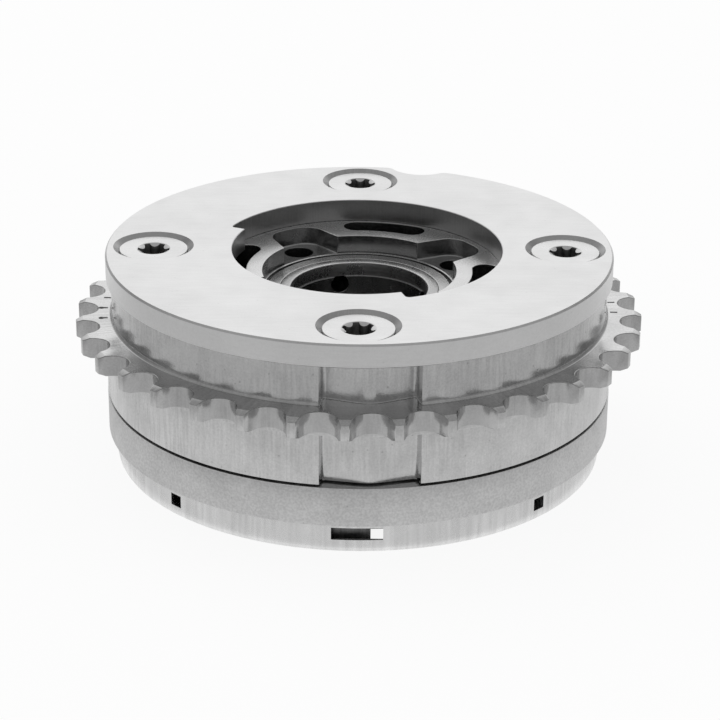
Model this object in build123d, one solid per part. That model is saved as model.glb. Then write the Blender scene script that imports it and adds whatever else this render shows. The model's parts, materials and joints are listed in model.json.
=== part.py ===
from build123d import *
import math
import os

# Vane-type camshaft phaser, millimetres, +Z up.
# It stands on the rim of its lower cup, the axis is the Z axis, and the
# front, where the housing has its shallow pocket, looks along -Y.

# Stack heights, from the resting rim up
cup_height = 5.4
plate_thickness = 6.6
housing_height = 20.4
cover_thickness = 3.9

# Chain sprocket
tooth_count = 36
chain_pitch = 8.0
tooth_addendum = 2.1
tooth_dedendum = 1.8
gullet_r = 2.0
tip_land = 1.3
sprocket_thickness = 3.6
sprocket_drop = 6.8
relief_depth = 1.2
relief_height = 0.48
gullet_azimuth = 272.65

# Housing body
upper_r = 41.9
lower_r = 42.95
shoulder_size = 0.42
root_shoulder_height = 0.55
seam_chamfer = 0.1
joint_gap = 0.3
joint_land = 1.3
rim_wall = 4.3
chamber_corner_r = 1.6
timing_mark_width = 0.28
timing_mark_depth = 0.3
timing_mark_length = 1.1
timing_mark_gap = 0.4
timing_mark_azimuths = (176.0, 182.2, 188.2, 357.5, 3.5)

# Front pocket
pocket_width = 16.0
pocket_floor_width = 14.8
pocket_depth = 1.15
pocket_slope = 18.5
pocket_ridge_r = 6.0
pocket_corner_r = 0.6
pocket_foot = 0.15

# Rotor and its swing
vane_count = 4
hub_r = 26.5
vane_half_angle = 11.0
swing_angle = 24.0
stop_gap_angle = 0.4
running_gap = 0.05
vane_tip_gap = 0.08
vane_corner_r = 1.9
axial_gap = 0.05
recess_r = 16.43
recess_depth = 3.25
lobe_reach = 23.45
lobe_inner_width = 10.6
lobe_outer_width = 8.6
lobe_corner_r = 2.3
land_r = 15.55
land_groove_width = 0.6
land_groove_depth = 1.1
kidney_inner_r = 19.2
kidney_outer_r = 23.55
kidney_half_angle = 19.5
kidney_depth = 14.0
lobe_hole_r = 2.5
lobe_hole_circle_r = 19.6
lobe_hole_depth = 11.0
bore_r = 11.4
oil_hole_r = 1.58
upper_oil_drop = 6.95
lower_oil_rise = 5.4
oil_hole_offset = 15.7
journal_r = 18.0
spring_hub_r = 17.0
hub_end_z = 1.6
bore_chamfer = 0.5

# Pressed-in hub ring
ring_outer_r = 13.5
ring_bore_step = 0.25
ring_height = 2.35
ring_edge = 0.16
press_gap = 0.01

# Vane seals and the leaf springs under them
seal_width = 2.9
seal_side_gap = 0.05
seal_groove_depth = 3.1
seal_height = 2.3
seal_wall_gap = 0.03
leaf_thickness = 0.2
leaf_width = 2.3
leaf_end_gap = 1.2

# Cover plate
cover_r = 42.75
cover_edge = 0.3
opening_small_r = 21.5
opening_large_r = 24.1
opening_start = 288.5
opening_end = 156.5
opening_corner_r = 0.7
notch_azimuth = 75.6
notch_depth = 2.85
notch_width = 9.8
notch_shoulder_r = 2.0

# Cover screws, M6 with a six-lobe recess
screw_count = 4
screw_circle_r = 34.75
screw_r = 3.0
thread_gap = 0.05
shank_clearance = 0.25
countersink_r = 6.78
head_r = 5.7
head_sink = 0.5
head_gap = 0.05
lobe_drive_r = 2.82
lobe_scallop_r = 0.95
lobe_waist_r = 2.02
drive_depth = 2.3
drive_turns = (20.0, 0.0, 30.0, 40.0)
screw_reach = 4.8
screw_point = 0.8
tapped_run_out = 0.4

# Back plate
plate_r = 43.0
plate_edge = 0.15
spigot_height = 0.9
dowel_r = 1.5
dowel_length = 8.0
dowel_circle_r = 33.6
dowel_azimuth = 193.0
dowel_gap = 0.02

# Lock pin in one vane, with its spring, plug and hardened bush
lock_vane = 1
lock_wall = 1.17
lock_pin_r = 3.2
lock_pin_length = 11.6
lock_pin_fit = 0.05
lock_rest_gap = 0.1
lock_nose_taper = 0.35
lock_nose_height = 3.0
lock_spring_bore_r = 2.2
lock_pin_floor = 3.2
lock_spring_wire_r = 0.35
lock_spring_r = 1.65
lock_spring_coils = 5.5
lock_cap_height = 2.6
lock_cap_nose_r = 1.1
lock_cap_nose = 2.2
bush_r = 5.2
bush_depth = 4.0
bush_pin_gap = 0.3

# Lower cup
cup_r = 41.6
cup_wall = 1.3
cup_edge_r = 0.95
cup_inner_edge_r = 0.25
window_front_azimuth = 270.0
window_front_width = 8.3
window_front_low = 2.3
window_front_high = 4.4
window_side_azimuths = (224.7, 315.3)
window_side_width = 2.35
window_side_low = 1.9
window_side_high = 4.0

# Flat spiral return spring inside the cup
strip_thickness = 1.5
strip_height = 2.7
strip_wall_gap = 0.3
strip_hub_gap = 0.35
strip_plate_gap = 0.3
spring_end_azimuth = 272.0
spring_travel = 1512.0
spring_wall_turn = 100.0
spring_tab_length = 3.1
spring_tab_gap = 0.3
anchor_width = 2.6
anchor_depth = 1.9
hub_slot_depth = 2.0

# Heights that follow from the stack
plate_bottom_z = cup_height
plate_top_z = plate_bottom_z + plate_thickness
housing_top_z = plate_top_z + housing_height
cover_top_z = housing_top_z + cover_thickness
spigot_z = plate_bottom_z - spigot_height
sprocket_top_z = housing_top_z - sprocket_drop
sprocket_bottom_z = sprocket_top_z - sprocket_thickness
rotor_bottom_z = plate_top_z + axial_gap
rotor_top_z = housing_top_z - axial_gap
recess_floor_z = rotor_top_z - recess_depth

# Radii and angles that follow
pitch_r = chain_pitch / (2 * math.sin(math.pi / tooth_count))
tip_r = pitch_r + tooth_addendum
root_r = pitch_r - tooth_dedendum
chamber_r = upper_r - rim_wall
vane_tip_r = chamber_r - vane_tip_gap
vane_step = 360 / vane_count
chamber_half_angle = vane_half_angle + swing_angle / 2 + stop_gap_angle
rest_azimuth = vane_step / 2 - swing_angle / 2
ring_bore_r = bore_r + ring_bore_step
plate_bore_r = journal_r
cup_inner_r = cup_r - cup_wall
lock_azimuth = rest_azimuth + lock_vane * vane_step
lock_circle_r = vane_tip_r - seal_groove_depth - lock_wall - lock_pin_r - lock_pin_fit


def polar(radius, azimuth):
    """Return the X, Y of a point from its radius and azimuth."""
    angle = math.radians(azimuth)
    return (radius * math.cos(angle), radius * math.sin(angle))


def spot(radius, azimuth, z=0.0):
    """Return a location at a radius and azimuth, turned to face outward."""
    x, y = polar(radius, azimuth)
    return Pos(x, y, z) * Rot(0, 0, azimuth)


def sector(radius, half_angle, azimuth):
    """Return a pie-shaped face around an azimuth."""
    reach = 2 * radius
    wedge = Polygon((0, 0), polar(reach, -half_angle), polar(reach, half_angle), align=None)
    return Rot(0, 0, azimuth) * (wedge & Circle(radius))


def disc(radius, z, height):
    """Return a plain disc on the axis."""
    return Pos(0, 0, z) * extrude(Circle(radius), height)


def ring(outer, inner, z, height):
    """Return a plain ring on the axis."""
    return Pos(0, 0, z) * extrude(Circle(outer) - Circle(inner), height)


def turned(*points):
    """Return the solid turned from a profile given as radius, height pairs."""
    profile = Plane.XZ * Polygon(*points, align=None)
    return revolve(profile, Axis.Z)


def rod(radius, azimuth, across, z, height):
    """Return an upright cylinder that stands at a radius and azimuth."""
    return spot(across, azimuth, z) * extrude(Circle(radius), height)


# Sprocket housing

def gullet_face():
    """Return the shape between two teeth: a round seat and two flanks."""
    centre = root_r + gullet_r
    land_half = math.degrees(tip_land / 2 / tip_r)
    corner_x, corner_y = polar(tip_r, 180 / tooth_count - land_half)
    reach = math.hypot(corner_x - centre, corner_y)
    lean = math.atan2(corner_y, corner_x - centre) + math.acos(gullet_r / reach)
    touch_x = centre + gullet_r * math.cos(lean)
    touch_y = gullet_r * math.sin(lean)
    out_x = corner_x + (corner_x - touch_x) / 2
    out_y = corner_y + (corner_y - touch_y) / 2
    mouth = Polygon(
        (centre, 0),
        (touch_x, -touch_y),
        (out_x, -out_y),
        (out_x, out_y),
        (touch_x, touch_y),
        align=None,
    )
    return mouth + Pos(centre, 0) * Circle(gullet_r)


def toothed_band():
    """Return the toothed band, its tooth tips relieved on both sides."""
    teeth = Circle(tip_r)
    gullet = gullet_face()
    for index in range(tooth_count):
        turn = gullet_azimuth + index * 360 / tooth_count
        teeth -= Rot(0, 0, turn) * gullet
    band = Pos(0, 0, sprocket_bottom_z) * extrude(teeth, sprocket_thickness)
    blank = turned(
        (0, sprocket_bottom_z),
        (tip_r - relief_depth, sprocket_bottom_z),
        (tip_r + 0.01, sprocket_bottom_z + relief_height),
        (tip_r + 0.01, sprocket_top_z - relief_height),
        (tip_r - relief_depth, sprocket_top_z),
        (0, sprocket_top_z),
    )
    return band & blank


def housing_blank():
    """Return the turned body of the housing without its teeth."""
    shoulder_r = upper_r + shoulder_size
    root_low_z = sprocket_bottom_z - root_shoulder_height
    face_r = chamber_r + joint_land
    rim_low_z = plate_top_z + joint_gap
    return turned(
        (0, plate_top_z),
        (face_r, plate_top_z),
        (face_r, rim_low_z),
        (lower_r - seam_chamfer, rim_low_z),
        (lower_r, rim_low_z + seam_chamfer),
        (lower_r, root_low_z),
        (root_r - 0.05, root_low_z),
        (root_r - 0.05, sprocket_bottom_z + sprocket_thickness / 2),
        (shoulder_r, sprocket_bottom_z + sprocket_thickness / 2),
        (shoulder_r, sprocket_top_z),
        (upper_r, sprocket_top_z + shoulder_size),
        (upper_r, housing_top_z - seam_chamfer),
        (upper_r - seam_chamfer, housing_top_z),
        (0, housing_top_z),
    )


def chamber_face():
    """Return the hollow that holds the rotor: a hub bore and four chambers."""
    hollow = Circle(hub_r + running_gap)
    for index in range(vane_count):
        chamber = sector(chamber_r, chamber_half_angle, 0)
        corners = chamber.vertices().sort_by_distance((0, 0, 0))[-2:]
        chamber = fillet(corners, chamber_corner_r)
        hollow += Rot(0, 0, vane_step / 2 + index * vane_step) * chamber
    return hollow


def pocket_face(body_r):
    """Return the front pocket seen from above, its floor a low rounded ridge."""
    slope = math.radians(pocket_slope)
    ridge_x = body_r - pocket_depth + pocket_ridge_r * (1 / math.cos(slope) - 1)
    end_y = pocket_floor_width / 2
    end_x = ridge_x - end_y * math.tan(slope)
    mouth_y = pocket_width / 2
    mouth_x = math.sqrt(body_r * body_r - mouth_y * mouth_y)
    out_x = 2 * mouth_x - end_x
    out_y = 2 * mouth_y - end_y
    face = Polygon(
        (ridge_x, 0),
        (end_x, -end_y),
        (out_x, -out_y),
        (out_x, out_y),
        (end_x, end_y),
        align=None,
    )
    inner = face.vertices().sort_by(Axis.X)
    face = fillet(inner[2], pocket_ridge_r)
    corners = face.vertices().sort_by(Axis.X)[:2]
    return fillet(corners, pocket_corner_r)


def front_pocket():
    """Return the pocket cutters above and below the toothed band."""
    upper_height = housing_top_z - sprocket_top_z
    lower_height = sprocket_bottom_z - root_shoulder_height - plate_top_z
    upper = Pos(0, 0, sprocket_top_z) * extrude(pocket_face(upper_r), upper_height)
    foot = upper.faces().sort_by(Axis.Z)[0]
    upper = chamfer(foot.edges(), pocket_foot)
    lower = Pos(0, 0, plate_top_z) * extrude(pocket_face(lower_r), lower_height)
    return Rot(0, 0, gullet_azimuth) * (upper + lower)


def timing_marks():
    """Return the short lines engraved in the face beside the teeth."""
    marks = []
    for azimuth in timing_mark_azimuths:
        line = Rectangle(timing_mark_length, timing_mark_width)
        middle = upper_r + shoulder_size + timing_mark_gap + timing_mark_length / 2
        place = spot(middle, azimuth, sprocket_top_z - timing_mark_depth)
        marks.append(place * extrude(line, timing_mark_depth + 0.1))
    return marks


def sprocket_housing():
    """Return the housing: teeth, four inner lugs, bolt holes and pocket."""
    body = housing_blank() + toothed_band()
    body -= Pos(0, 0, plate_top_z) * extrude(chamber_face(), housing_height)
    for index in range(screw_count):
        azimuth = index * 360 / screw_count
        body -= rod(screw_r + shank_clearance, azimuth, screw_circle_r, plate_top_z, housing_height)
    body -= rod(dowel_r + dowel_gap, dowel_azimuth, dowel_circle_r, plate_top_z, dowel_length / 2 + 0.2)
    body -= front_pocket()
    for mark in timing_marks():
        body -= mark
    return body


# Rotor

def vane_face():
    """Return one vane with the groove for its seal, pointing along +X."""
    vane = sector(vane_tip_r, vane_half_angle, 0)
    corners = vane.vertices().sort_by_distance((0, 0, 0))[-2:]
    vane = fillet(corners, vane_corner_r)
    groove_width = seal_width + 2 * seal_side_gap
    groove = Pos(vane_tip_r, 0) * Rectangle(2 * seal_groove_depth, groove_width)
    return vane - groove


def recess_face():
    """Return the lobed recess in the rotor's face."""
    recess = Circle(recess_r)
    start = recess_r / 2
    slope = (lobe_outer_width - lobe_inner_width) / (lobe_reach - recess_r)
    start_width = lobe_inner_width - slope * (recess_r - start)
    end = lobe_reach * 1.2
    end_width = lobe_outer_width + slope * (end - lobe_reach)
    lobe = Polygon(
        (start, -start_width / 2),
        (end, -end_width / 2),
        (end, end_width / 2),
        (start, start_width / 2),
        align=None,
    )
    lobe = lobe & Circle(lobe_reach)
    corners = lobe.vertices().sort_by_distance((0, 0, 0))[-2:]
    lobe = fillet(corners, lobe_corner_r)
    for index in range(vane_count):
        recess += Rot(0, 0, rest_azimuth + index * vane_step) * lobe
    return recess


def kidney_face():
    """Return one kidney-shaped pocket outline centred on +X."""
    width = kidney_outer_r - kidney_inner_r
    middle = (kidney_outer_r + kidney_inner_r) / 2
    end_angle = math.degrees(width / 2 / middle)
    half = kidney_half_angle - end_angle
    band = sector(kidney_outer_r, half, 0) - Circle(kidney_inner_r)
    for side in (-half, half):
        band += spot(middle, side) * Circle(width / 2)
    return band


def oil_hole(azimuth, z):
    """Return a radial drilling from the bore to the outside of the hub."""
    length = hub_r + 1 - bore_r / 2
    return spot(bore_r / 2, azimuth, z) * Rot(0, 90, 0) * extrude(Circle(oil_hole_r), length)


def rotor():
    """Return the rotor: hub, vanes, lobed recess, kidneys, bore and journal."""
    outline = Circle(hub_r)
    for index in range(vane_count):
        outline += Rot(0, 0, rest_azimuth + index * vane_step) * vane_face()
    height = rotor_top_z - rotor_bottom_z
    body = Pos(0, 0, rotor_bottom_z) * extrude(outline, height)
    body += disc(journal_r - running_gap, spigot_z, rotor_bottom_z - spigot_z)
    body += disc(spring_hub_r, hub_end_z, spigot_z - hub_end_z)
    body -= Pos(0, 0, recess_floor_z) * extrude(recess_face(), recess_depth)
    body -= ring(land_r + land_groove_width, land_r, recess_floor_z - land_groove_depth, land_groove_depth)
    body -= bore_cutter()
    for index in range(vane_count):
        lobe_azimuth = rest_azimuth + index * vane_step
        kidney_azimuth = lobe_azimuth + vane_step / 2
        kidney = Rot(0, 0, kidney_azimuth) * kidney_face()
        body -= Pos(0, 0, rotor_top_z - kidney_depth) * extrude(kidney, kidney_depth)
        hole_z = recess_floor_z - lobe_hole_depth
        body -= rod(lobe_hole_r, lobe_azimuth, lobe_hole_circle_r, hole_z, lobe_hole_depth)
        body -= oil_hole(lobe_azimuth - oil_hole_offset, rotor_top_z - upper_oil_drop)
        body -= oil_hole(lobe_azimuth + oil_hole_offset, rotor_bottom_z + lower_oil_rise)
    body -= rod(lock_pin_r + lock_pin_fit, lock_azimuth, lock_circle_r, rotor_bottom_z, height)
    body -= hub_slot()
    return body


def bore_cutter():
    """Return the cutter for the bore, the ring's seat and the lower chamfer."""
    seat_z = recess_floor_z - ring_height
    return turned(
        (0, hub_end_z),
        (bore_r + bore_chamfer, hub_end_z),
        (bore_r, hub_end_z + bore_chamfer),
        (bore_r, seat_z),
        (ring_outer_r, seat_z),
        (ring_outer_r, recess_floor_z),
        (0, recess_floor_z),
    )


def hub_slot():
    """Return the slot in the hub that takes the spring's inner tab."""
    width = strip_thickness + 2 * spring_tab_gap
    azimuth = spring_end_azimuth - spring_travel
    slot = Rectangle(2 * hub_slot_depth, width)
    return spot(spring_hub_r, azimuth, hub_end_z) * extrude(slot, spigot_z - hub_end_z)


def hub_ring():
    """Return the ring pressed into the hub, its edges broken."""
    seat_z = recess_floor_z - ring_height
    outer = ring_outer_r - press_gap
    return turned(
        (ring_bore_r, seat_z),
        (outer, seat_z),
        (outer, recess_floor_z - ring_edge),
        (outer - ring_edge, recess_floor_z),
        (ring_bore_r + ring_edge, recess_floor_z),
        (ring_bore_r, recess_floor_z - ring_edge),
    )


def vane_seal(index):
    """Return the seal strip in the tip of one vane."""
    azimuth = rest_azimuth + index * vane_step
    outer = chamber_r - seal_wall_gap
    strip = Pos(outer - seal_height / 2, 0) * Rectangle(seal_height, seal_width)
    strip = strip & Circle(outer)
    height = rotor_top_z - rotor_bottom_z
    return Pos(0, 0, rotor_bottom_z) * Rot(0, 0, azimuth) * extrude(strip, height)


def seal_spring(index):
    """Return the bowed leaf spring under one seal."""
    azimuth = rest_azimuth + index * vane_step
    low_r = vane_tip_r - seal_groove_depth + seal_side_gap
    high_r = chamber_r - seal_wall_gap - seal_height - seal_side_gap
    middle_z = (rotor_top_z + rotor_bottom_z) / 2
    half = (rotor_top_z - rotor_bottom_z) / 2 - leaf_end_gap
    inner = ThreePointArc(
        (high_r - leaf_thickness, middle_z - half),
        (low_r, middle_z),
        (high_r - leaf_thickness, middle_z + half),
    )
    outer = ThreePointArc(
        (high_r, middle_z + half),
        (low_r + leaf_thickness, middle_z),
        (high_r, middle_z - half),
    )
    upper_end = Line(inner @ 1, outer @ 0)
    lower_end = Line(outer @ 1, inner @ 0)
    leaf = Plane.XZ * make_face([inner, upper_end, outer, lower_end])
    return Rot(0, 0, azimuth) * extrude(leaf, leaf_width / 2, both=True)


# Cover and its screws

def opening_face():
    """Return the cover's opening: a small circle and a wider part."""
    closed = (opening_start - opening_end) / 2
    middle = (opening_start + opening_end) / 2
    wide = Circle(opening_large_r) - sector(2 * opening_large_r, closed, middle)
    opening = wide + Circle(opening_small_r)
    steps = opening.vertices().filter_by(lambda v: abs(math.hypot(v.X, v.Y) - opening_large_r) < 0.01)
    return fillet(steps, opening_corner_r)


def notch_face():
    """Return the rounded notch in the cover's rim."""
    half = notch_width / 2
    radius = (half * half + notch_depth * notch_depth) / (2 * notch_depth)
    return spot(cover_r - notch_depth + radius, notch_azimuth) * Circle(radius)


def cover_outline():
    """Return the cover's outline with the notch's shoulders rounded."""
    outline = Circle(cover_r) - notch_face()
    centre = Vector(*polar(cover_r, notch_azimuth), 0)
    shoulders = outline.vertices().sort_by_distance(centre)[:2]
    return fillet(shoulders, notch_shoulder_r)


def cover_plate():
    """Return the cover plate with its opening, notch and countersinks."""
    body = Pos(0, 0, housing_top_z) * extrude(cover_outline() - opening_face(), cover_thickness)
    rim = body.faces().sort_by(Axis.Z)[-1].outer_wire().edges()
    body = chamfer(rim, cover_edge)
    for index in range(screw_count):
        place = spot(screw_circle_r, index * 360 / screw_count)
        body -= place * countersink()
    return body


def countersink():
    """Return the cutter for one countersunk hole in the cover."""
    hole_r = screw_r + shank_clearance
    cone_low_z = cover_top_z - (countersink_r - hole_r)
    return turned(
        (0, housing_top_z - 0.01),
        (hole_r, housing_top_z - 0.01),
        (hole_r, cone_low_z),
        (countersink_r, cover_top_z),
        (countersink_r, cover_top_z + 0.01),
        (0, cover_top_z + 0.01),
    )


def drive_face():
    """Return the six-lobe recess of a screw."""
    star = Circle(lobe_drive_r)
    for index in range(6):
        star -= spot(lobe_waist_r + lobe_scallop_r, index * 60) * Circle(lobe_scallop_r)
    return star


def cover_screw(index):
    """Return one countersunk screw, its threads drawn as a plain rod."""
    head_top_z = cover_top_z - head_sink
    cone_top_z = cover_top_z - (countersink_r - head_r) + head_gap * 1.4
    cone_low_z = cone_top_z - (head_r - screw_r)
    tip_z = plate_top_z - screw_reach
    body = turned(
        (0, tip_z),
        (screw_r - screw_point, tip_z),
        (screw_r, tip_z + screw_point),
        (screw_r, cone_low_z),
        (head_r, cone_top_z),
        (head_r, head_top_z - 0.12),
        (head_r - 0.12, head_top_z),
        (0, head_top_z),
    )
    drive = Rot(0, 0, drive_turns[index]) * drive_face()
    body -= Pos(0, 0, head_top_z - drive_depth) * extrude(drive, drive_depth)
    return spot(screw_circle_r, index * 360 / screw_count) * body


# Back plate, dowel and lower cup

def plate_blank():
    """Return the turned back plate with the spigot for the cup."""
    spigot_r = cup_inner_r - press_gap
    return turned(
        (plate_bore_r, spigot_z),
        (spigot_r - plate_edge, spigot_z),
        (spigot_r, spigot_z + plate_edge),
        (spigot_r, plate_bottom_z),
        (plate_r - plate_edge, plate_bottom_z),
        (plate_r, plate_bottom_z + plate_edge),
        (plate_r, plate_top_z - plate_edge),
        (plate_r - plate_edge, plate_top_z),
        (plate_bore_r, plate_top_z),
    )


def spring_anchor():
    """Return the lug under the plate that holds the spring's outer tab."""
    inside_r = cup_inner_r - strip_wall_gap - strip_thickness - spring_tab_gap
    reach = inside_r - anchor_depth / 2
    tab_edge = math.degrees((strip_thickness / 2 + spring_tab_gap + anchor_width / 2) / reach)
    azimuth = spring_end_azimuth - tab_edge
    low_z = spigot_z - strip_plate_gap - strip_height + 0.3
    lug = Rectangle(anchor_depth, anchor_width)
    return spot(reach, azimuth, low_z) * extrude(lug, spigot_z - low_z)


def back_plate():
    """Return the back plate with tapped holes, bush seat and dowel hole."""
    body = plate_blank() + spring_anchor()
    for index in range(screw_count):
        azimuth = index * 360 / screw_count
        depth = screw_reach + tapped_run_out
        body -= rod(screw_r + thread_gap, azimuth, screw_circle_r, plate_top_z - depth, depth)
    body -= rod(bush_r, lock_azimuth, lock_circle_r, plate_top_z - bush_depth, bush_depth)
    dowel_depth = dowel_length / 2 + 0.2
    body -= rod(dowel_r + dowel_gap, dowel_azimuth, dowel_circle_r, plate_top_z - dowel_depth, dowel_depth)
    return body


def locating_dowel():
    """Return the dowel that aligns the housing on the back plate."""
    pin = turned(
        (0, -dowel_length / 2),
        (dowel_r - 0.3, -dowel_length / 2),
        (dowel_r, -dowel_length / 2 + 0.3),
        (dowel_r, dowel_length / 2 - 0.3),
        (dowel_r - 0.3, dowel_length / 2),
        (0, dowel_length / 2),
    )
    return spot(dowel_circle_r, dowel_azimuth, plate_top_z) * pin


def window_cut(azimuth, width, low, high):
    """Return the cutter for one window in the cup's wall."""
    pane = Rectangle(4 * cup_wall, width)
    return spot(cup_r - cup_wall / 2, azimuth, low) * extrude(pane, high - low)


def spring_cup():
    """Return the cup that rings the spring, its lower rim rounded."""
    wall = Plane.XZ * Pos((cup_inner_r + cup_r) / 2, cup_height / 2) * Rectangle(cup_wall, cup_height)
    low = wall.vertices().sort_by(Axis.Z)[:2].sort_by(Axis.X)
    wall = fillet(low[-1], cup_edge_r)
    low = wall.vertices().sort_by(Axis.X)[:2].sort_by(Axis.Z)
    wall = fillet(low[0], cup_inner_edge_r)
    body = revolve(wall, Axis.Z)
    body -= window_cut(window_front_azimuth, window_front_width, window_front_low, window_front_high)
    for azimuth in window_side_azimuths:
        body -= window_cut(azimuth, window_side_width, window_side_low, window_side_high)
    return body


# Return spring

def strip_radius(travel):
    """Return the strip's middle radius after some degrees from its outer end."""
    outer = cup_inner_r - strip_wall_gap - strip_thickness / 2
    inner = spring_hub_r + strip_hub_gap + strip_thickness / 2
    share = max(0.0, travel - spring_wall_turn) / (spring_travel - spring_wall_turn)
    return outer - (outer - inner) * share


def strip_side(offset):
    """Return one side of the spiral strip as a smooth curve."""
    steps = int(spring_travel / 18)
    points = []
    for step in range(steps + 1):
        travel = spring_travel * step / steps
        points.append(polar(strip_radius(travel) + offset, spring_end_azimuth - travel))
    return Spline(*points)


def return_spring():
    """Return the flat spiral spring with its two tabs."""
    outside = strip_side(strip_thickness / 2)
    inside = strip_side(-strip_thickness / 2)
    outer_end = Line(outside @ 0, inside @ 0)
    inner_end = Line(outside @ 1, inside @ 1)
    coil = make_face([outside, inner_end, inside, outer_end])
    outer_tab = Rectangle(spring_tab_length, strip_thickness)
    reach = strip_radius(0) + strip_thickness / 2 - spring_tab_length / 2
    coil += spot(reach, spring_end_azimuth) * outer_tab
    tab_in = spring_hub_r - hub_slot_depth + spring_tab_gap
    tab_out = strip_radius(spring_travel) + strip_thickness / 2
    inner_tab = Rectangle(tab_out - tab_in, strip_thickness)
    coil += spot((tab_in + tab_out) / 2, spring_end_azimuth - spring_travel) * inner_tab
    low_z = spigot_z - strip_plate_gap - strip_height
    return Pos(0, 0, low_z) * extrude(coil, strip_height)


# Lock pin group

def lock_pin():
    """Return the hollow lock pin, its nose just clear of the back plate."""
    low_z = plate_top_z + lock_rest_gap
    top_z = low_z + lock_pin_length
    pin = turned(
        (0, low_z),
        (lock_pin_r - lock_nose_taper, low_z),
        (lock_pin_r, low_z + lock_nose_height),
        (lock_pin_r, top_z - 0.2),
        (lock_pin_r - 0.2, top_z),
        (lock_spring_bore_r, top_z),
        (lock_spring_bore_r, low_z + lock_pin_floor),
        (0, low_z + lock_pin_floor),
    )
    return spot(lock_circle_r, lock_azimuth) * pin


def lock_pin_cap():
    """Return the plug above the lock pin's spring."""
    plug_r = lock_pin_r + lock_pin_fit - press_gap
    low_z = rotor_top_z - lock_cap_height
    plug = turned(
        (0, low_z - lock_cap_nose),
        (lock_cap_nose_r, low_z - lock_cap_nose),
        (lock_cap_nose_r, low_z),
        (plug_r, low_z),
        (plug_r, rotor_top_z),
        (0, rotor_top_z),
    )
    return spot(lock_circle_r, lock_azimuth) * plug


def lock_pin_spring():
    """Return the coil spring between the lock pin and its plug."""
    low_z = plate_top_z + lock_rest_gap + lock_pin_floor + lock_spring_wire_r + 0.05
    high_z = rotor_top_z - lock_cap_height - lock_spring_wire_r - 0.05
    height = high_z - low_z
    path = Helix(pitch=height / lock_spring_coils, height=height, radius=lock_spring_r)
    section = Plane(origin=path @ 0, z_dir=path % 0) * Circle(lock_spring_wire_r)
    coil = sweep(section, path=path, is_frenet=True)
    return spot(lock_circle_r, lock_azimuth, low_z) * coil


def lock_bush():
    """Return the hardened bush that the locked pin would enter."""
    hole_r = lock_pin_r + bush_pin_gap
    low_z = plate_top_z - bush_depth
    bush = turned(
        (hole_r, low_z),
        (bush_r - press_gap, low_z),
        (bush_r - press_gap, plate_top_z),
        (hole_r + 0.4, plate_top_z),
        (hole_r, plate_top_z - 0.4),
    )
    return spot(lock_circle_r, lock_azimuth) * bush


def all_parts():
    """Return every piece by its name."""
    parts = {
        "sprocket_housing": sprocket_housing(),
        "cover_plate": cover_plate(),
        "rotor": rotor(),
        "hub_ring": hub_ring(),
        "back_plate": back_plate(),
        "locating_dowel": locating_dowel(),
        "spring_cup": spring_cup(),
        "return_spring": return_spring(),
        "lock_pin": lock_pin(),
        "lock_pin_spring": lock_pin_spring(),
        "lock_pin_cap": lock_pin_cap(),
        "lock_bush": lock_bush(),
    }
    for index in range(screw_count):
        parts["cover_screw_" + str(index + 1)] = cover_screw(index)
    for index in range(vane_count):
        parts["vane_seal_" + str(index + 1)] = vane_seal(index)
        parts["seal_spring_" + str(index + 1)] = seal_spring(index)
    return parts


os.makedirs("parts", exist_ok=True)
for name, solid in all_parts().items():
    export_step(solid, "parts/" + name + ".step")
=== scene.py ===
"""Looks of a vane-type cam phaser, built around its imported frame."""

import json
import logging
import math
from collections.abc import Callable, Iterator, Sequence
from contextlib import contextmanager
from dataclasses import dataclass
from enum import Enum

import bmesh
import bpy
from mathutils import Matrix, Vector

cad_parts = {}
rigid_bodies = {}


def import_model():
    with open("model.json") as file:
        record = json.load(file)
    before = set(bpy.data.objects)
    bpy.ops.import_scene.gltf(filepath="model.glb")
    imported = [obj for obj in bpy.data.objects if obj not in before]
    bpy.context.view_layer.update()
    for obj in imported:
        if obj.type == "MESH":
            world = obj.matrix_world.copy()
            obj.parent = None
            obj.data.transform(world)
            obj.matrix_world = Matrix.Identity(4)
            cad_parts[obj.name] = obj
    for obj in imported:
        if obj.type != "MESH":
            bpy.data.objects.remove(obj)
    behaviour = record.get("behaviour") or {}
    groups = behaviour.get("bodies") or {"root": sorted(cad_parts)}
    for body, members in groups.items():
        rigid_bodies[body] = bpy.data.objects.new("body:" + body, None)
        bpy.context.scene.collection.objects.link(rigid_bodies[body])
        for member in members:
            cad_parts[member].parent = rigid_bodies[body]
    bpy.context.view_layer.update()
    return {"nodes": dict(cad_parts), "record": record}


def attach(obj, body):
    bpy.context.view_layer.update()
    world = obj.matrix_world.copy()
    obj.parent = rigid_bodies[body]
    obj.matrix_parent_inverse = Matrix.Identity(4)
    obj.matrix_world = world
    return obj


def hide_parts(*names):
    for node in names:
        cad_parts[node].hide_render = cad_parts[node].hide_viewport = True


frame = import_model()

log = logging.getLogger("cam_phaser")

Point = tuple[float, float]
Piece = bpy.types.Object
Material = bpy.types.Material
Tree = bpy.types.NodeTree
Socket = bpy.types.NodeSocket
Chosen = Callable[[Vector, Vector], bool]

# Pieces are modelled in millimetres and brought to metres when they are done.
MM = 0.001
# How far a cutter reaches past what it cuts.
PAST = 1.0
QUARTERS = (0.0, 90.0, 180.0, 270.0)
SCREW_CIRCLE = 34.75
# How far each screw's recess is turned, in degrees.
DRIVE_TURNS = (20.0, 0.0, 30.0, 40.0)


# Modelling helpers


def polar(radius: float, azimuth: float) -> Point:
    """Return the X, Y of a point at a radius and an azimuth in degrees."""
    angle = math.radians(azimuth)
    return (radius * math.cos(angle), radius * math.sin(angle))


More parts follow.
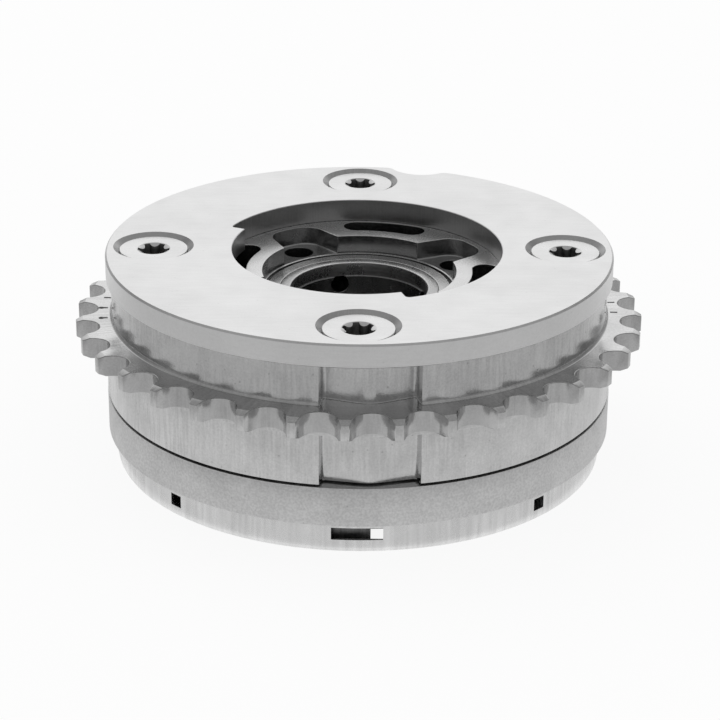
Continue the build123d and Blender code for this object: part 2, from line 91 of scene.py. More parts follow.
def arc(centre: Point, radius: float, start: float, end: float, steps: int) -> list[Point]:
    """Return points along an arc, both ends included.

    Args:
        centre: The arc's centre.
        radius: The arc's radius.
        start: Angle of the first point, in degrees.
        end: Angle of the last point, in degrees.
        steps: Number of divisions.

    Returns:
        The points in order.
    """
    points = []
    for step in range(steps + 1):
        x, y = polar(radius, start + (end - start) * step / steps)
        points.append((centre[0] + x, centre[1] + y))
    return points


def rounded_corner(before: Point, corner: Point, after: Point, radius: float, steps: int) -> list[Point]:
    """Return the points that round one corner of an outline.

    Args:
        before: The corner before it.
        corner: The corner to round.
        after: The corner after it.
        radius: Radius of the rounding.
        steps: Number of divisions.

    Returns:
        The points from one side to the other.
    """
    middle = Vector(corner)
    back = (Vector(before) - middle).normalized()
    ahead = (Vector(after) - middle).normalized()
    half = back.angle(ahead) / 2
    centre = middle + (back + ahead).normalized() * radius / math.sin(half)
    first = middle + back * radius / math.tan(half) - centre
    last = middle + ahead * radius / math.tan(half) - centre
    start = math.atan2(first.y, first.x)
    sweep = math.atan2(first.x * last.y - first.y * last.x, first.dot(last))
    return arc(tuple(centre), radius, math.degrees(start), math.degrees(start + sweep), steps)


def fan(inner: float, outer: float, half: float, corner: float, steps: int) -> list[Point]:
    """Return a fan-shaped outline around +X with its outer corners rounded.

    Args:
        inner: Radius where its two sides start.
        outer: Radius of its outer edge.
        half: Half of its angle, in degrees.
        corner: Radius of its outer corners.
        steps: Divisions of the outer edge.

    Returns:
        The outline's points.
    """
    inset = outer - corner
    reach = half - math.degrees(math.asin(corner / inset))
    return [
        polar(inner, -half),
        *arc(polar(inset, -reach), corner, -half - 90, -reach, 8),
        *arc((0, 0), outer, -reach, reach, steps)[1:-1],
        *arc(polar(inset, reach), corner, reach, half + 90, 8),
        polar(inner, half),
    ]


def activate(obj: Piece) -> None:
    """Select one object alone and make it the active one.

    Args:
        obj: The object.
    """
    for other in bpy.context.view_layer.objects:
        other.select_set(False)
    obj.select_set(True)
    bpy.context.view_layer.objects.active = obj


@contextmanager
def editing(obj: Piece, element: str = "FACE") -> Iterator[None]:
    """Open a piece in edit mode with nothing selected.

    Args:
        obj: The piece.
        element: VERT, EDGE or FACE.

    Yields:
        Nothing; edit mode closes afterwards.
    """
    activate(obj)
    bpy.ops.object.mode_set(mode="EDIT")
    bpy.ops.mesh.select_mode(type=element)
    bpy.ops.mesh.select_all(action="DESELECT")
    yield
    bpy.ops.object.mode_set(mode="OBJECT")


def bake(obj: Piece, name: str) -> Piece:
    """Name a new object and bake its place, turn and scale into its mesh.

    Args:
        obj: The object, active and alone selected.
        name: Its name.

    Returns:
        The same object.
    """
    obj.name = name
    bpy.ops.object.transform_apply(location=True, rotation=True, scale=True)
    return obj


def trace(name: str, points: Sequence[Vector]) -> Piece:
    """Draw a line of vertices by extruding from the first to the last.

    Args:
        name: Name of the new object.
        points: The line's points.

    Returns:
        The object that holds the line.
    """
    bpy.ops.object.select_all(action="DESELECT")
    bpy.ops.mesh.primitive_plane_add(size=0.01)
    obj = bpy.context.object
    obj.name = name
    with editing(obj, "VERT"):
        bpy.ops.mesh.select_all(action="SELECT")
        bpy.ops.mesh.merge(type="CENTER")
        bpy.ops.transform.translate(value=points[0])
        for before, after in zip(points, points[1:]):
            bpy.ops.mesh.extrude_vertices_move(TRANSFORM_OT_translate={"value": after - before})
    return obj


def face_outwards(obj: Piece, merge: float = 0.0005) -> None:
    """Merge a closed piece's doubles and turn its faces outwards.

    Args:
        obj: The piece.
        merge: Greatest distance between two vertices that become one.
    """
    with editing(obj, "VERT"):
        bpy.ops.mesh.select_all(action="SELECT")
        bpy.ops.mesh.remove_doubles(threshold=merge)
        bpy.ops.mesh.normals_make_consistent(inside=False)


def lathe(name: str, profile: Sequence[Point], steps: int = 360) -> Piece:
    """Turn a profile about the upright axis.

    Args:
        name: Name of the piece.
        profile: Radius and height pairs; a ring's profile ends where it starts.
        steps: Divisions of the full turn.

    Returns:
        The turned piece.
    """
    obj = trace(name, [Vector((r, 0, z)) for r, z in profile])
    with editing(obj, "VERT"):
        bpy.ops.mesh.select_all(action="SELECT")
        bpy.ops.mesh.spin(steps=steps, angle=math.tau, center=(0, 0, 0), axis=(0, 0, 1))
    face_outwards(obj)
    return obj


def prism(name: str, outline: Sequence[Point], low: float, high: float) -> Piece:
    """Raise a flat outline to a block.

    Args:
        name: Name of the block.
        outline: Its corners in order.
        low: Height of its underside.
        high: Height of its top.

    Returns:
        The block.
    """
    obj = trace(name, [Vector((x, y, low)) for x, y in outline])
    with editing(obj, "VERT"):
        bpy.ops.mesh.select_all(action="SELECT")
        bpy.ops.mesh.edge_face_add()
        bpy.ops.mesh.extrude_region_move(TRANSFORM_OT_translate={"value": (0, 0, high - low)})
    face_outwards(obj)
    return obj


def rod(name: str, radius: float, place: Point, low: float, high: float, sides: int = 64) -> Piece:
    """Add an upright round rod.

    Args:
        name: Name of the rod.
        radius: Its radius.
        place: X and Y of its axis.
        low: Height of its underside.
        high: Height of its top.
        sides: Number of sides.

    Returns:
        The rod.
    """
    bpy.ops.object.select_all(action="DESELECT")
    middle = (*place, (low + high) / 2)
    bpy.ops.mesh.primitive_cylinder_add(vertices=sides, radius=radius, depth=high - low, location=middle)
    return bake(bpy.context.object, name)


def block(name: str, size: Sequence[float], place: Sequence[float], azimuth: float) -> Piece:
    """Add a box that is turned about the axis to an azimuth.

    Args:
        name: Name of the box.
        size: Its sides: outward, across and up.
        place: Its centre as radius, zero and height.
        azimuth: Where it ends up, in degrees.

    Returns:
        The box.
    """
    bpy.ops.object.select_all(action="DESELECT")
    bpy.ops.mesh.primitive_cube_add(size=1, location=place)
    bpy.context.object.scale = size
    return turn(bake(bpy.context.object, name), azimuth)


def turn(obj: Piece, azimuth: float) -> Piece:
    """Turn a piece about the upright axis and bake the turn into its mesh.

    Args:
        obj: The piece, with its origin on the axis.
        azimuth: The turn, in degrees.

    Returns:
        The same piece.
    """
    activate(obj)
    obj.rotation_euler.z = math.radians(azimuth)
    bpy.ops.object.transform_apply(location=False, rotation=True, scale=False)
    return obj


def move(obj: Piece, place: Point) -> Piece:
    """Shift a piece level and bake the shift into its mesh.

    Args:
        obj: The piece.
        place: How far it shifts in X and Y.

    Returns:
        The same piece.
    """
    activate(obj)
    obj.location = (*place, 0)
    bpy.ops.object.transform_apply(location=True, rotation=False, scale=False)
    return obj


def join(parts: Sequence[Piece]) -> Piece:
    """Join several objects into the first.

    Args:
        parts: The objects.

    Returns:
        The joined object.
    """
    activate(parts[0])
    for part in parts[1:]:
        part.select_set(True)
    if len(parts) > 1:
        bpy.ops.object.join()
    return parts[0]


def copies_around(obj: Piece, azimuths: Sequence[float]) -> Piece:
    """Repeat a piece about the axis and join the copies.

    Args:
        obj: The piece, modelled at azimuth 0.
        azimuths: Where the copies stand, in degrees.

    Returns:
        One object with every copy.
    """
    copies = []
    for azimuth in azimuths:
        copy = obj.copy()
        copy.data = obj.data.copy()
        bpy.context.scene.collection.objects.link(copy)
        copies.append(turn(copy, azimuth))
    bpy.data.objects.remove(obj)
    return join(copies)


def combine(target: Piece, tool: Piece, operation: str = "DIFFERENCE") -> Piece:
    """Cut a tool out of a piece, or weld it on, and drop the tool.

    Args:
        target: The piece that stays.
        tool: The object used on it.
        operation: DIFFERENCE or UNION.

    Returns:
        The piece.
    """
    activate(target)
    modifier = target.modifiers.new("combine", "BOOLEAN")
    modifier.operation = operation
    modifier.solver = "EXACT"
    modifier.object = tool
    bpy.ops.object.modifier_apply(modifier=modifier.name)
    bpy.data.objects.remove(tool)
    return target


def round_flat_edges(obj: Piece, height: float, radius: float, segments: int = 4) -> None:
    """Round the edges around one flat face of a block.

    Args:
        obj: The block.
        height: Height of the face.
        radius: How far the rounding cuts back.
        segments: Steps in the rounding.
    """
    with editing(obj, "EDGE"):
        mesh = bmesh.from_edit_mesh(obj.data)
        for edge in mesh.edges:
            flat = all(abs(vert.co.z - height) < 0.001 for vert in edge.verts)
            rim = any(abs(face.normal.z) < 0.5 for face in edge.link_faces)
            edge.select_set(flat and rim)
        mesh.select_flush_mode()
        bmesh.update_edit_mesh(obj.data)
        bpy.ops.mesh.bevel(offset=radius, segments=segments, affect="EDGES")


def soften(obj: Piece, width: float, segments: int = 2, angle: float = 30.0, clamp: bool = True) -> None:
    """Break every sharp edge of a piece with a small rounding.

    Args:
        obj: The piece.
        width: How far the rounding cuts back.
        segments: Steps in the rounding.
        angle: Edges sharper than this are rounded, in degrees.
        clamp: Keep the rounding within the shortest edge.
    """
    face_outwards(obj, 0.002)
    activate(obj)
    modifier = obj.modifiers.new("soften", "BEVEL")
    modifier.width = width
    modifier.segments = segments
    modifier.limit_method = "ANGLE"
    modifier.angle_limit = math.radians(angle)
    modifier.use_clamp_overlap = clamp
    bpy.ops.object.modifier_apply(modifier=modifier.name)


def screw_distance(place: Vector) -> float:
    """Return how far a place is from the nearest screw's axis, in millimetres."""
    return min(math.dist(place.xy, polar(SCREW_CIRCLE, azimuth)) for azimuth in QUARTERS)


# Shader groups


class Effect(Enum):
    """The shader groups that the finishes share."""

    CLOUDS = "cloudy_tone"
    GRAIN = "fine_grain"
    STREAKS = "upright_streaks"
    RINGS = "turned_rings"
    LAY = "grinding_lay"
    PITS = "scattered_pores"
    # Brighter edges: partly wear, partly a painted highlight.
    WEAR_AND_HIGHLIGHT = "edge_wear"


class Wiring:
    """Adds nodes to a tree and joins them."""

    def __init__(self, tree: Tree) -> None:
        """Start with a tree."""
        self.tree = tree

    def put(self, value: object, target: Socket) -> None:
        """Join an output to an input, or set the input's number.

        Args:
            value: A socket, a number, or None to leave the input alone.
            target: The input.
        """
        if isinstance(value, Socket):
            self.tree.links.new(value, target)
        elif value is not None:
            target.default_value = value

    def node(self, kind: str, inputs: dict[object, object], **settings: object) -> bpy.types.Node:
        """Add a node.

        Args:
            kind: The node's type.
            inputs: Sockets or numbers by the input that they go to.
            settings: The node's properties.

        Returns:
            The node.
        """
        made = self.tree.nodes.new(kind)
        for key, value in settings.items():
            setattr(made, key, value)
        for key, value in inputs.items():
            self.put(value, made.inputs[key])
        return made

    def maths(self, operation: str, first: object, second: object = None) -> Socket:
        """Add a Math node for one or two sockets or numbers and return its result."""
        return self.node("ShaderNodeMath", {0: first, 1: second}, operation=operation).outputs[0]

    def ramp(self, value: Socket, ends: Point, levels: tuple[object, object]) -> Socket:
        """Add a soft step.

        Args:
            value: The value that the step follows.
            ends: Where the step starts and ends.
            levels: The levels before and after it, each a number or a socket.

        Returns:
            The level's socket.
        """
        inputs = {"From Min": ends[0], "From Max": ends[1], "To Min": levels[0], "To Max": levels[1]}
        inputs["Value"] = value
        return self.node("ShaderNodeMapRange", inputs, interpolation_type="SMOOTHSTEP").outputs["Result"]

    def total(self, *values: Socket) -> Socket:
        """Add several values up.

        Args:
            values: Their sockets.

        Returns:
            The sum's socket.
        """
        result = values[0]
        for value in values[1:]:
            result = self.maths("ADD", result, value)
        return result


class GroupBuilder(Wiring):
    """Builds one shader group with a low and a high end and one value."""

    def __init__(self, effect: Effect, **inputs: float) -> None:
        """Start a group.

        Args:
            effect: The effect that the group gives.
            inputs: Its own inputs and their usual values.
        """
        super().__init__(bpy.data.node_groups.new(effect.value, "ShaderNodeTree"))
        self.tree.interface.new_socket(name="Value", in_out="OUTPUT", socket_type="NodeSocketFloat")
        for name, value in {**inputs, "Low": 0.0, "High": 1.0}.items():
            made = self.tree.interface.new_socket(name=name, in_out="INPUT", socket_type="NodeSocketFloat")
            made.default_value = value
        self.given = self.node("NodeGroupInput", {}).outputs
        self.outlet = self.node("NodeGroupOutput", {}).inputs

    def place(self) -> Socket:
        """Return the object coordinates."""
        return self.node("ShaderNodeTexCoord", {}).outputs["Object"]

    def parts(self) -> tuple[Socket, ...]:
        """Split the object coordinates.

        Returns:
            X, Y, Z and the distance from the axis, which never quite reaches nothing.
        """
        split = self.node("ShaderNodeSeparateXYZ", {"Vector": self.place()})
        x, y, z = (split.outputs[name] for name in "XYZ")
        squares = self.maths("ADD", self.maths("MULTIPLY", x, x), self.maths("MULTIPLY", y, y))
        return x, y, z, self.maths("MAXIMUM", self.maths("SQRT", squares), 0.0005)

    def scaled(self, *factors: tuple[Socket, object]) -> Socket:
        """Join the products of three pairs of a socket and a socket or number to a vector."""
        products = {name: self.maths("MULTIPLY", *pair) for name, pair in zip("XYZ", factors)}
        return self.node("ShaderNodeCombineXYZ", products).outputs["Vector"]

    def noise(self, vector: Socket, scale: object, detail: float) -> Socket:
        """Add a noise texture.

        Args:
            vector: Where it is read.
            scale: A socket or a number.
            detail: Octaves of detail.

        Returns:
            The noise value.
        """
        inputs = {"Vector": vector, "Scale": scale, "Detail": detail, "Roughness": 0.55}
        return self.node("ShaderNodeTexNoise", inputs).outputs["Fac"]

    def finish(self, value: Socket, low: float, high: float) -> Tree:
        """Stretch a value's useful part over Low to High and put it out.

        Args:
            value: The value to stretch.
            low: Where Low is reached.
            high: Where High is reached.

        Returns:
            The finished group.
        """
        levels = (self.given["Low"], self.given["High"])
        self.put(self.ramp(value, (low, high), levels), self.outlet["Value"])
        return self.tree


def build_clouds() -> Tree:
    """Return the group for soft tone changes over a surface."""
    group = GroupBuilder(Effect.CLOUDS, Scale=120.0)
    return group.finish(group.noise(group.place(), group.given["Scale"], 4.0), 0.3, 0.7)


def build_grain() -> Tree:
    """Return the group for the fine grain of pressed and ground steel."""
    group = GroupBuilder(Effect.GRAIN, Scale=3000.0)
    return group.finish(group.noise(group.place(), group.given["Scale"], 2.0), 0.3, 0.7)


def build_streaks() -> Tree:
    """Return the group for patches of fine upright streaks around the axis."""
    group = GroupBuilder(Effect.STREAKS, Across=90.0, Along=150.0)
    x, y, z, radius = group.parts()
    across = group.maths("DIVIDE", group.given["Across"], radius)
    vector = group.scaled((x, across), (y, across), (z, group.given["Along"]))
    streak = group.maths("SUBTRACT", group.noise(vector, 1.0, 3.0), 0.5)
    patch = group.maths("MULTIPLY", group.noise(group.place(), 110.0, 2.0), 2.0)
    return group.finish(group.maths("MULTIPLY", streak, group.maths("POWER", patch, 3.0)), -0.25, 0.25)


def build_rings() -> Tree:
    """Return the group for fine turned rings about the axis, which drift slowly across it."""
    group = GroupBuilder(Effect.RINGS, Fineness=3500.0)
    x, y, z, radius = group.parts()
    fine = group.given["Fineness"]
    vector = group.scaled((radius, fine), (z, fine), (group.maths("ADD", x, y), 30.0))
    return group.finish(group.noise(vector, 1.0, 3.0), 0.3, 0.7)


def build_lay() -> Tree:
    """Return the group for the straight fine lines of a ground face."""
    group = GroupBuilder(Effect.LAY, Along=160.0, Across=2200.0)
    x, y, z, radius = group.parts()
    across = group.given["Across"]
    vector = group.scaled((x, group.given["Along"]), (y, across), (z, across))
    return group.finish(group.noise(vector, 1.0, 3.0), 0.3, 0.7)


def build_pits() -> Tree:
    """Return the group for scattered small dark pores, one in a few cells."""
    group = GroupBuilder(Effect.PITS, Scale=1300.0)
    inputs = {"Vector": group.place(), "Scale": group.given["Scale"]}
    cells = group.node("ShaderNodeTexVoronoi", inputs, feature="F1").outputs
    split = group.node("ShaderNodeSeparateColor", {"Color": cells["Color"]})
    chosen = group.maths("GREATER_THAN", split.outputs["Red"], 0.955)
    near = group.maths("SUBTRACT", 1.0, cells["Distance"])
    return group.finish(group.maths("MULTIPLY", near, chosen), 0.72, 0.86)


def build_wear_and_highlight() -> Tree:
    """Return the group that finds edges, for their brighter line: partly wear, partly a painted highlight.
    """
    group = GroupBuilder(Effect.WEAR_AND_HIGHLIGHT, Width=0.0002)
    rounded = group.node("ShaderNodeBevel", {"Radius": group.given["Width"]}, samples=4).outputs["Normal"]
    plain = group.node("ShaderNodeNewGeometry", {}).outputs["Normal"]
    dot = group.node("ShaderNodeVectorMath", {0: rounded, 1: plain}, operation="DOT_PRODUCT")
    edge = group.maths("SUBTRACT", 1.0, dot.outputs["Value"])
    breakup = group.noise(group.place(), 900.0, 3.0)
    return group.finish(group.maths("MULTIPLY", edge, breakup), 0.01, 0.12)


BUILDERS = {
    Effect.CLOUDS: build_clouds,
    Effect.GRAIN: build_grain,
    Effect.STREAKS: build_streaks,
    Effect.RINGS: build_rings,
    Effect.LAY: build_lay,
    Effect.PITS: build_pits,
    Effect.WEAR_AND_HIGHLIGHT: build_wear_and_highlight,
}


# Finishes


@dataclass(frozen=True)
class SteelFinish:
    """One steel finish: its tone, its gloss and the marks of its making."""

    name: str
    tone: float = 0.6
    cloud_share: float = 0.05
    cloud_scale: float = 90.0
    marks: Effect = Effect.STREAKS
    mark_share: float = 0.05
    mark_values: tuple[tuple[str, float], ...] = ()
    grain_share: float = 0.04
    grain_scale: float = 3000.0
    pit_share: float = 0.0
    wear_and_highlight_share: float = 0.08
    rough_low: float = 0.28
    rough_high: float = 0.38
    bump: float = 0.08
    metallic: float = 1.0

    def build(self, groups: dict[Effect, Tree]) -> Material:
        """Build the material.

        Args:
            groups: The shared shader groups.

        Returns:
            The material.
        """
        material = bpy.data.materials.new(self.name)
        material.use_nodes = True
        wiring = Wiring(material.node_tree)
        shader = material.node_tree.nodes["Principled BSDF"].inputs
        shader["Metallic"].default_value = self.metallic

        def effect(kind: Effect, low: float, high: float, **values: float) -> Socket:
            """Place a shared group with its own values and return its value."""
            inputs = {**values, "Low": low, "High": high}
            return wiring.node("ShaderNodeGroup", inputs, node_tree=groups[kind]).outputs["Value"]

        half_cloud, half_mark, half_grain = self.cloud_share / 2, self.mark_share / 2, self.grain_share / 2
        grain_scale, mark_values = {"Scale": self.grain_scale}, dict(self.mark_values)
        tone = wiring.total(
            effect(Effect.CLOUDS, self.tone - half_cloud, self.tone + half_cloud, Scale=self.cloud_scale),
            effect(self.marks, -half_mark, half_mark, **mark_values),
            effect(Effect.GRAIN, -half_grain, half_grain, **grain_scale),
            effect(Effect.PITS, 0.0, -self.pit_share),
            # Edges are brightened, partly as wear and partly as a painted highlight.
            effect(Effect.WEAR_AND_HIGHLIGHT, 0.0, self.wear_and_highlight_share),
        )
        colour = wiring.node("ShaderNodeCombineColor", dict.fromkeys(("Red", "Green", "Blue"), tone))
        wiring.put(colour.outputs["Color"], shader["Base Color"])
        gloss = effect(Effect.CLOUDS, self.rough_low, self.rough_high, Scale=self.cloud_scale * 2.7)
        wiring.put(wiring.total(gloss, effect(Effect.GRAIN, -0.02, 0.02)), shader["Roughness"])
        relief = wiring.total(
            effect(self.marks, 0.0, 0.6, **mark_values),
            effect(Effect.GRAIN, 0.0, 0.6, **grain_scale),
            effect(Effect.PITS, 0.0, -4.0 if self.pit_share else 0.0),
        )
        bump = wiring.node("ShaderNodeBump", {"Strength": self.bump, "Distance": 0.00002, "Height": relief})
        wiring.put(bump.outputs["Normal"], shader["Normal"])
        return material


# The record's slots, and after them the second finishes of single pieces; those of the opening's wall, the
# rotor's walls, the gaps between teeth and the screw recesses are darker, as painted shade.
FINISHES = {
    "sintered_steel": SteelFinish(
        "sintered_housing_steel", tone=0.64, cloud_share=0.1, cloud_scale=150.0, mark_share=0.09,
        grain_share=0.08, pit_share=0.12, wear_and_highlight_share=0.06, rough_low=0.14, rough_high=0.22, bump=0.15,
    ),
    "ground_steel": SteelFinish(
        "ground_cover_steel", tone=0.81, cloud_share=0.04, cloud_scale=70.0, marks=Effect.LAY,
        mark_share=0.03, grain_share=0.03, pit_share=0.06, wear_and_highlight_share=0.04, rough_low=0.3, rough_high=0.36,
    ),
    "rotor_steel": SteelFinish(
        "rotor_face_steel", tone=0.72, marks=Effect.RINGS, mark_share=0.02, grain_share=0.015,
        rough_low=0.24, rough_high=0.3, bump=0.03,
    ),
    "ring_steel": SteelFinish(
        "pressed_ring_steel", tone=0.62, marks=Effect.RINGS, mark_share=0.12, grain_share=0.02,
        rough_low=0.24, rough_high=0.32, bump=0.15,
    ),
    "turned_steel": SteelFinish(
        "turned_plate_steel", tone=0.62, cloud_share=0.06, cloud_scale=130.0, marks=Effect.RINGS,
        mark_share=0.02, grain_share=0.12, grain_scale=2600.0, pit_share=0.08,
        rough_low=0.3, rough_high=0.38, bump=0.25,
    ),
    "drawn_steel": SteelFinish(
        "drawn_cup_steel", tone=0.72, cloud_share=0.06, mark_share=0.14,
        mark_values=(("Across", 40.0), ("Along", 60.0)), rough_low=0.24, rough_high=0.32,
    ),
    "screw_steel": SteelFinish(
        "screw_head_steel", tone=0.8, marks=Effect.LAY, mark_share=0.03, rough_low=0.28, rough_high=0.36
    ),
    "pin_steel": SteelFinish("hardened_pin_steel", rough_low=0.16, rough_high=0.26),
    "spring_steel": SteelFinish("tempered_spring_steel", tone=0.13, rough_low=0.3, rough_high=0.4),
    "seal_plastic": SteelFinish(
        "moulded_seal", tone=0.04, cloud_share=0.02, mark_share=0.01, grain_share=0.01,
        wear_and_highlight_share=0.02, rough_low=0.45, rough_high=0.6, metallic=0.0,
    ),
    # A darker tone on the opening's wall, painted shade.
    "cut_wall": SteelFinish("cover_opening_painted_shade", tone=0.46, grain_share=0.03, rough_low=0.32, rough_high=0.4),
    # A darker tone on the rotor's walls and deeper faces, painted shade; their roughness is their own.
    "pressed_wall": SteelFinish(
        "rotor_wall_painted_shade", tone=0.42, cloud_share=0.06, mark_share=0.06, grain_share=0.03,
        rough_low=0.18, rough_high=0.26,
    ),
    # A darker tone on the teeth's flanks and the floors between them, painted shade.
    "tooth_flank": SteelFinish(
        "tooth_gap_painted_shade", tone=0.53, cloud_share=0.08, cloud_scale=150.0, mark_share=0.06,
        grain_share=0.05, rough_low=0.16, rough_high=0.24,
    ),
    # A darker tone in the screw recesses, painted shade.
    "screw_recess": SteelFinish("screw_recess_painted_shade", tone=0.3, rough_low=0.3, rough_high=0.4),
    "countersink": SteelFinish("countersink_steel", rough_low=0.3),
}


@dataclass
class Dresser:
    """Holds the built materials by slot, and the second finishes by their own names."""

    materials: dict[str, Material]

    @classmethod
    def build(cls) -> "Dresser":
        """Build the shared groups and one material for each slot."""
        groups = {effect: builder() for effect, builder in BUILDERS.items()}
        return cls({slot: finish.build(groups) for slot, finish in FINISHES.items()})

    def dress_nodes(self) -> None:
        """Give every node of the frame the material of its slot."""
        for row in frame["record"]["subparts"]:
            node = frame["nodes"][row["node"]]
            node.data.materials.clear()
            node.data.materials.append(self.materials[row["material_slot"]])
            activate(node)
            bpy.ops.object.shade_smooth_by_angle(angle=math.radians(30))
            log.info("node %s is dressed as %s", row["node"], row["material_slot"])


# Pieces


class SubAssembly:
    """One piece of the scene: its shape, its finishes and the body that it rides on."""

    body = "housing"
    slot = ""
    nodes: Sequence[str] = ()

    def build(self) -> Piece:
        """Return the piece's shape, in millimetres."""
        raise NotImplementedError

    def second_finishes(self) -> list[tuple[str, Chosen]]:
        """Return other finishes, and what tells their faces by centre in millimetres and normal."""
        return []

    def dress(self, piece: Piece, dresser: Dresser) -> None:
        """Give a piece in metres its finishes.

        Args:
            piece: The piece.
            dresser: The built materials.
        """
        finishes = piece.data.materials
        finishes.clear()
        finishes.append(dresser.materials[self.slot])
        for name, chosen in self.second_finishes():
            finishes.append(dresser.materials[name])
            for face in piece.data.polygons:
                if chosen(face.center / MM, face.normal):
                    face.material_index = len(finishes) - 1

    def make(self, dresser: Dresser) -> None:
        """Build a piece, bring it to metres, dress it and tie it to the frame.

        Args:
            dresser: The built materials.
        """
        piece = self.build()
        activate(piece)
        piece.scale = (MM, MM, MM)
        bpy.ops.object.transform_apply(location=True, rotation=True, scale=True)
        bpy.ops.object.shade_smooth_by_angle(angle=math.radians(20))
        self.dress(piece, dresser)
        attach(piece, self.body)
        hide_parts(*self.nodes)
        faces = len(piece.data.polygons)
        log.info("%s stands for %s with %d faces", piece.name, ", ".join(self.nodes), faces)


@dataclass
class SprocketHousing(SubAssembly):
    """The toothed housing with its chambers, front pocket and timing marks."""

    slot = "sintered_steel"
    nodes = ("sprocket_housing",)
    low: float = 12.0
    high: float = 32.4
    upper_r: float = 41.9
    lower_r: float = 42.95
    shoulder: float = 0.42
    band_low: float = 22.0
    band_high: float = 25.6
    root_drop: float = 0.55
    root_r: float = 44.045
    tip_r: float = 47.995
    gullet_r: float = 2.95
    gullet_floor: float = 44.25
    gullet_margin: float = 0.3
    tip_land: float = 1.3
    teeth: int = 36
    first_gullet: float = 272.65
    relief: float = 1.2
    relief_height: float = 0.48
    seam: float = 0.1
    joint_gap: float = 0.37
    joint_r: float = 38.9
    blank_bore_r: float = 24.0
    bore_r: float = 26.55
    chamber_r: float = 37.6
    chamber_half: float = 23.4
    chamber_corner: float = 1.6
    pocket_width: float = 16.0
    pocket_floor: float = 14.8
    pocket_depth: float = 1.15
    upper_slope: float = 21.0
    lower_slope: float = 12.8
    pocket_ridge: float = 6.0
    pocket_corner: float = 0.6
    pocket_foot: float = 0.15
    screw_hole_r: float = 3.25
    mark_middle: float = 43.27
    mark_size: tuple[float, float, float] = (1.15, 0.5, 1.1)
    mark_azimuths: tuple[float, ...] = (176.0, 182.2, 188.2, 357.5, 3.5)
    dot_azimuths: tuple[float, ...] = (182.2, 188.2)
    dot_circle: float = 43.745
    dot_r: float = 0.42
    dot_depth: float = 0.7
    edge: float = 0.1

    def blank(self) -> Piece:
        """Turn the housing with a full ring where the teeth will be."""
        ledge, joint = self.band_low - self.root_drop, self.low + self.joint_gap
        profile = [
            (self.blank_bore_r, self.low),
            (self.joint_r, self.low),
            (self.joint_r, joint),
            (self.lower_r - self.seam, joint),
            (self.lower_r, joint + self.seam),
            (self.lower_r, ledge),
            (self.root_r, ledge),
            (self.root_r, self.band_low),
            (self.tip_r - self.relief, self.band_low),
            (self.tip_r, self.band_low + self.relief_height),
            (self.tip_r, self.band_high - self.relief_height),
            (self.tip_r - self.relief, self.band_high),
            (self.upper_r + self.shoulder, self.band_high),
            (self.upper_r, self.band_high + self.shoulder),
            (self.upper_r, self.high - self.seam),
            (self.upper_r - self.seam, self.high),
            (self.blank_bore_r, self.high),
        ]
        return lathe("toothed_housing", [*profile, profile[0]])

    def gullets(self) -> Piece:
        """Return the cutter for every space between two teeth."""
        centre = self.gullet_floor + self.gullet_r
        land_half = math.degrees(self.tip_land / 2 / self.tip_r)
        corner = polar(self.tip_r, 180 / self.teeth - land_half)
        reach = math.hypot(corner[0] - centre, corner[1])
        lean = math.atan2(corner[1], corner[0] - centre) + math.acos(self.gullet_r / reach)
        touch = (centre + self.gullet_r * math.cos(lean), self.gullet_r * math.sin(lean))
        out = (corner[0] * 1.5 - touch[0] / 2, corner[1] * 1.5 - touch[1] / 2)
        lean_degrees = math.degrees(lean)
        seat = arc((centre, 0), self.gullet_r, lean_degrees, 360 - lean_degrees, 16)
        outline = [out, *seat, (out[0], -out[1])]
        margin = self.gullet_margin
        cutter = prism("gullet", outline, self.band_low - margin, self.band_high + margin)
        step = 360 / self.teeth
        return copies_around(cutter, [self.first_gullet + step * index for index in range(self.teeth)])

    def pocket_outline(self, body_r: float, slope: float) -> list[Point]:
        """Return the pocket's outline, its floor a low rounded ridge.

        Args:
            body_r: Radius of the body around the pocket.
            slope: How far each side of the floor falls back, in degrees.

        Returns:
            The outline's points.
        """
        lean = math.radians(slope)
        ridge = (body_r - self.pocket_depth + self.pocket_ridge * (1 / math.cos(lean) - 1), 0.0)
        end_y = self.pocket_floor / 2
        end_x = ridge[0] - end_y * math.tan(lean)
        mouth_y = self.pocket_width / 2
        mouth_x = math.sqrt(body_r**2 - mouth_y**2)
        out = (2 * mouth_x - end_x, 2 * mouth_y - end_y)
        near, far = (end_x, -end_y), (end_x, end_y)
        return [
            (out[0], -out[1]),
            *rounded_corner((out[0], -out[1]), near, ridge, self.pocket_corner, 6),
            *rounded_corner(near, ridge, far, self.pocket_ridge, 12),
            *rounded_corner(ridge, far, out, self.pocket_corner, 6),
            out,
        ]

    def pockets(self) -> Piece:
        """Return the cutter for the front pocket above and below the teeth."""
        outline = self.pocket_outline(self.upper_r, self.upper_slope)
        upper = prism("pocket_upper", outline, self.band_high, self.high + PAST)
        round_flat_edges(upper, self.band_high, self.pocket_foot, 1)
        outline = self.pocket_outline(self.lower_r, self.lower_slope)
        lower = prism("pocket_lower", outline, self.low - PAST, self.band_low - self.root_drop)
        return turn(join([upper, lower]), self.first_gullet)

    def hollow(self) -> Piece:
        """Return the cutter for the hub's bore and the four chambers."""
        outline = fan(self.blank_bore_r, self.chamber_r, self.chamber_half, self.chamber_corner, 48)
        chamber = prism("chamber", outline, self.low - PAST, self.high + PAST)
        chambers = copies_around(chamber, [45.0 + azimuth for azimuth in QUARTERS])
        bore = rod("bore", self.bore_r, (0, 0), self.low - PAST, self.high + PAST, 256)
        return combine(bore, chambers, "UNION")

    def screw_holes(self) -> Piece:
        """Return the cutter for the four screw holes."""
        hole = rod("hole", self.screw_hole_r, (SCREW_CIRCLE, 0), self.low - PAST, self.high + PAST, 40)
        return copies_around(hole, QUARTERS)

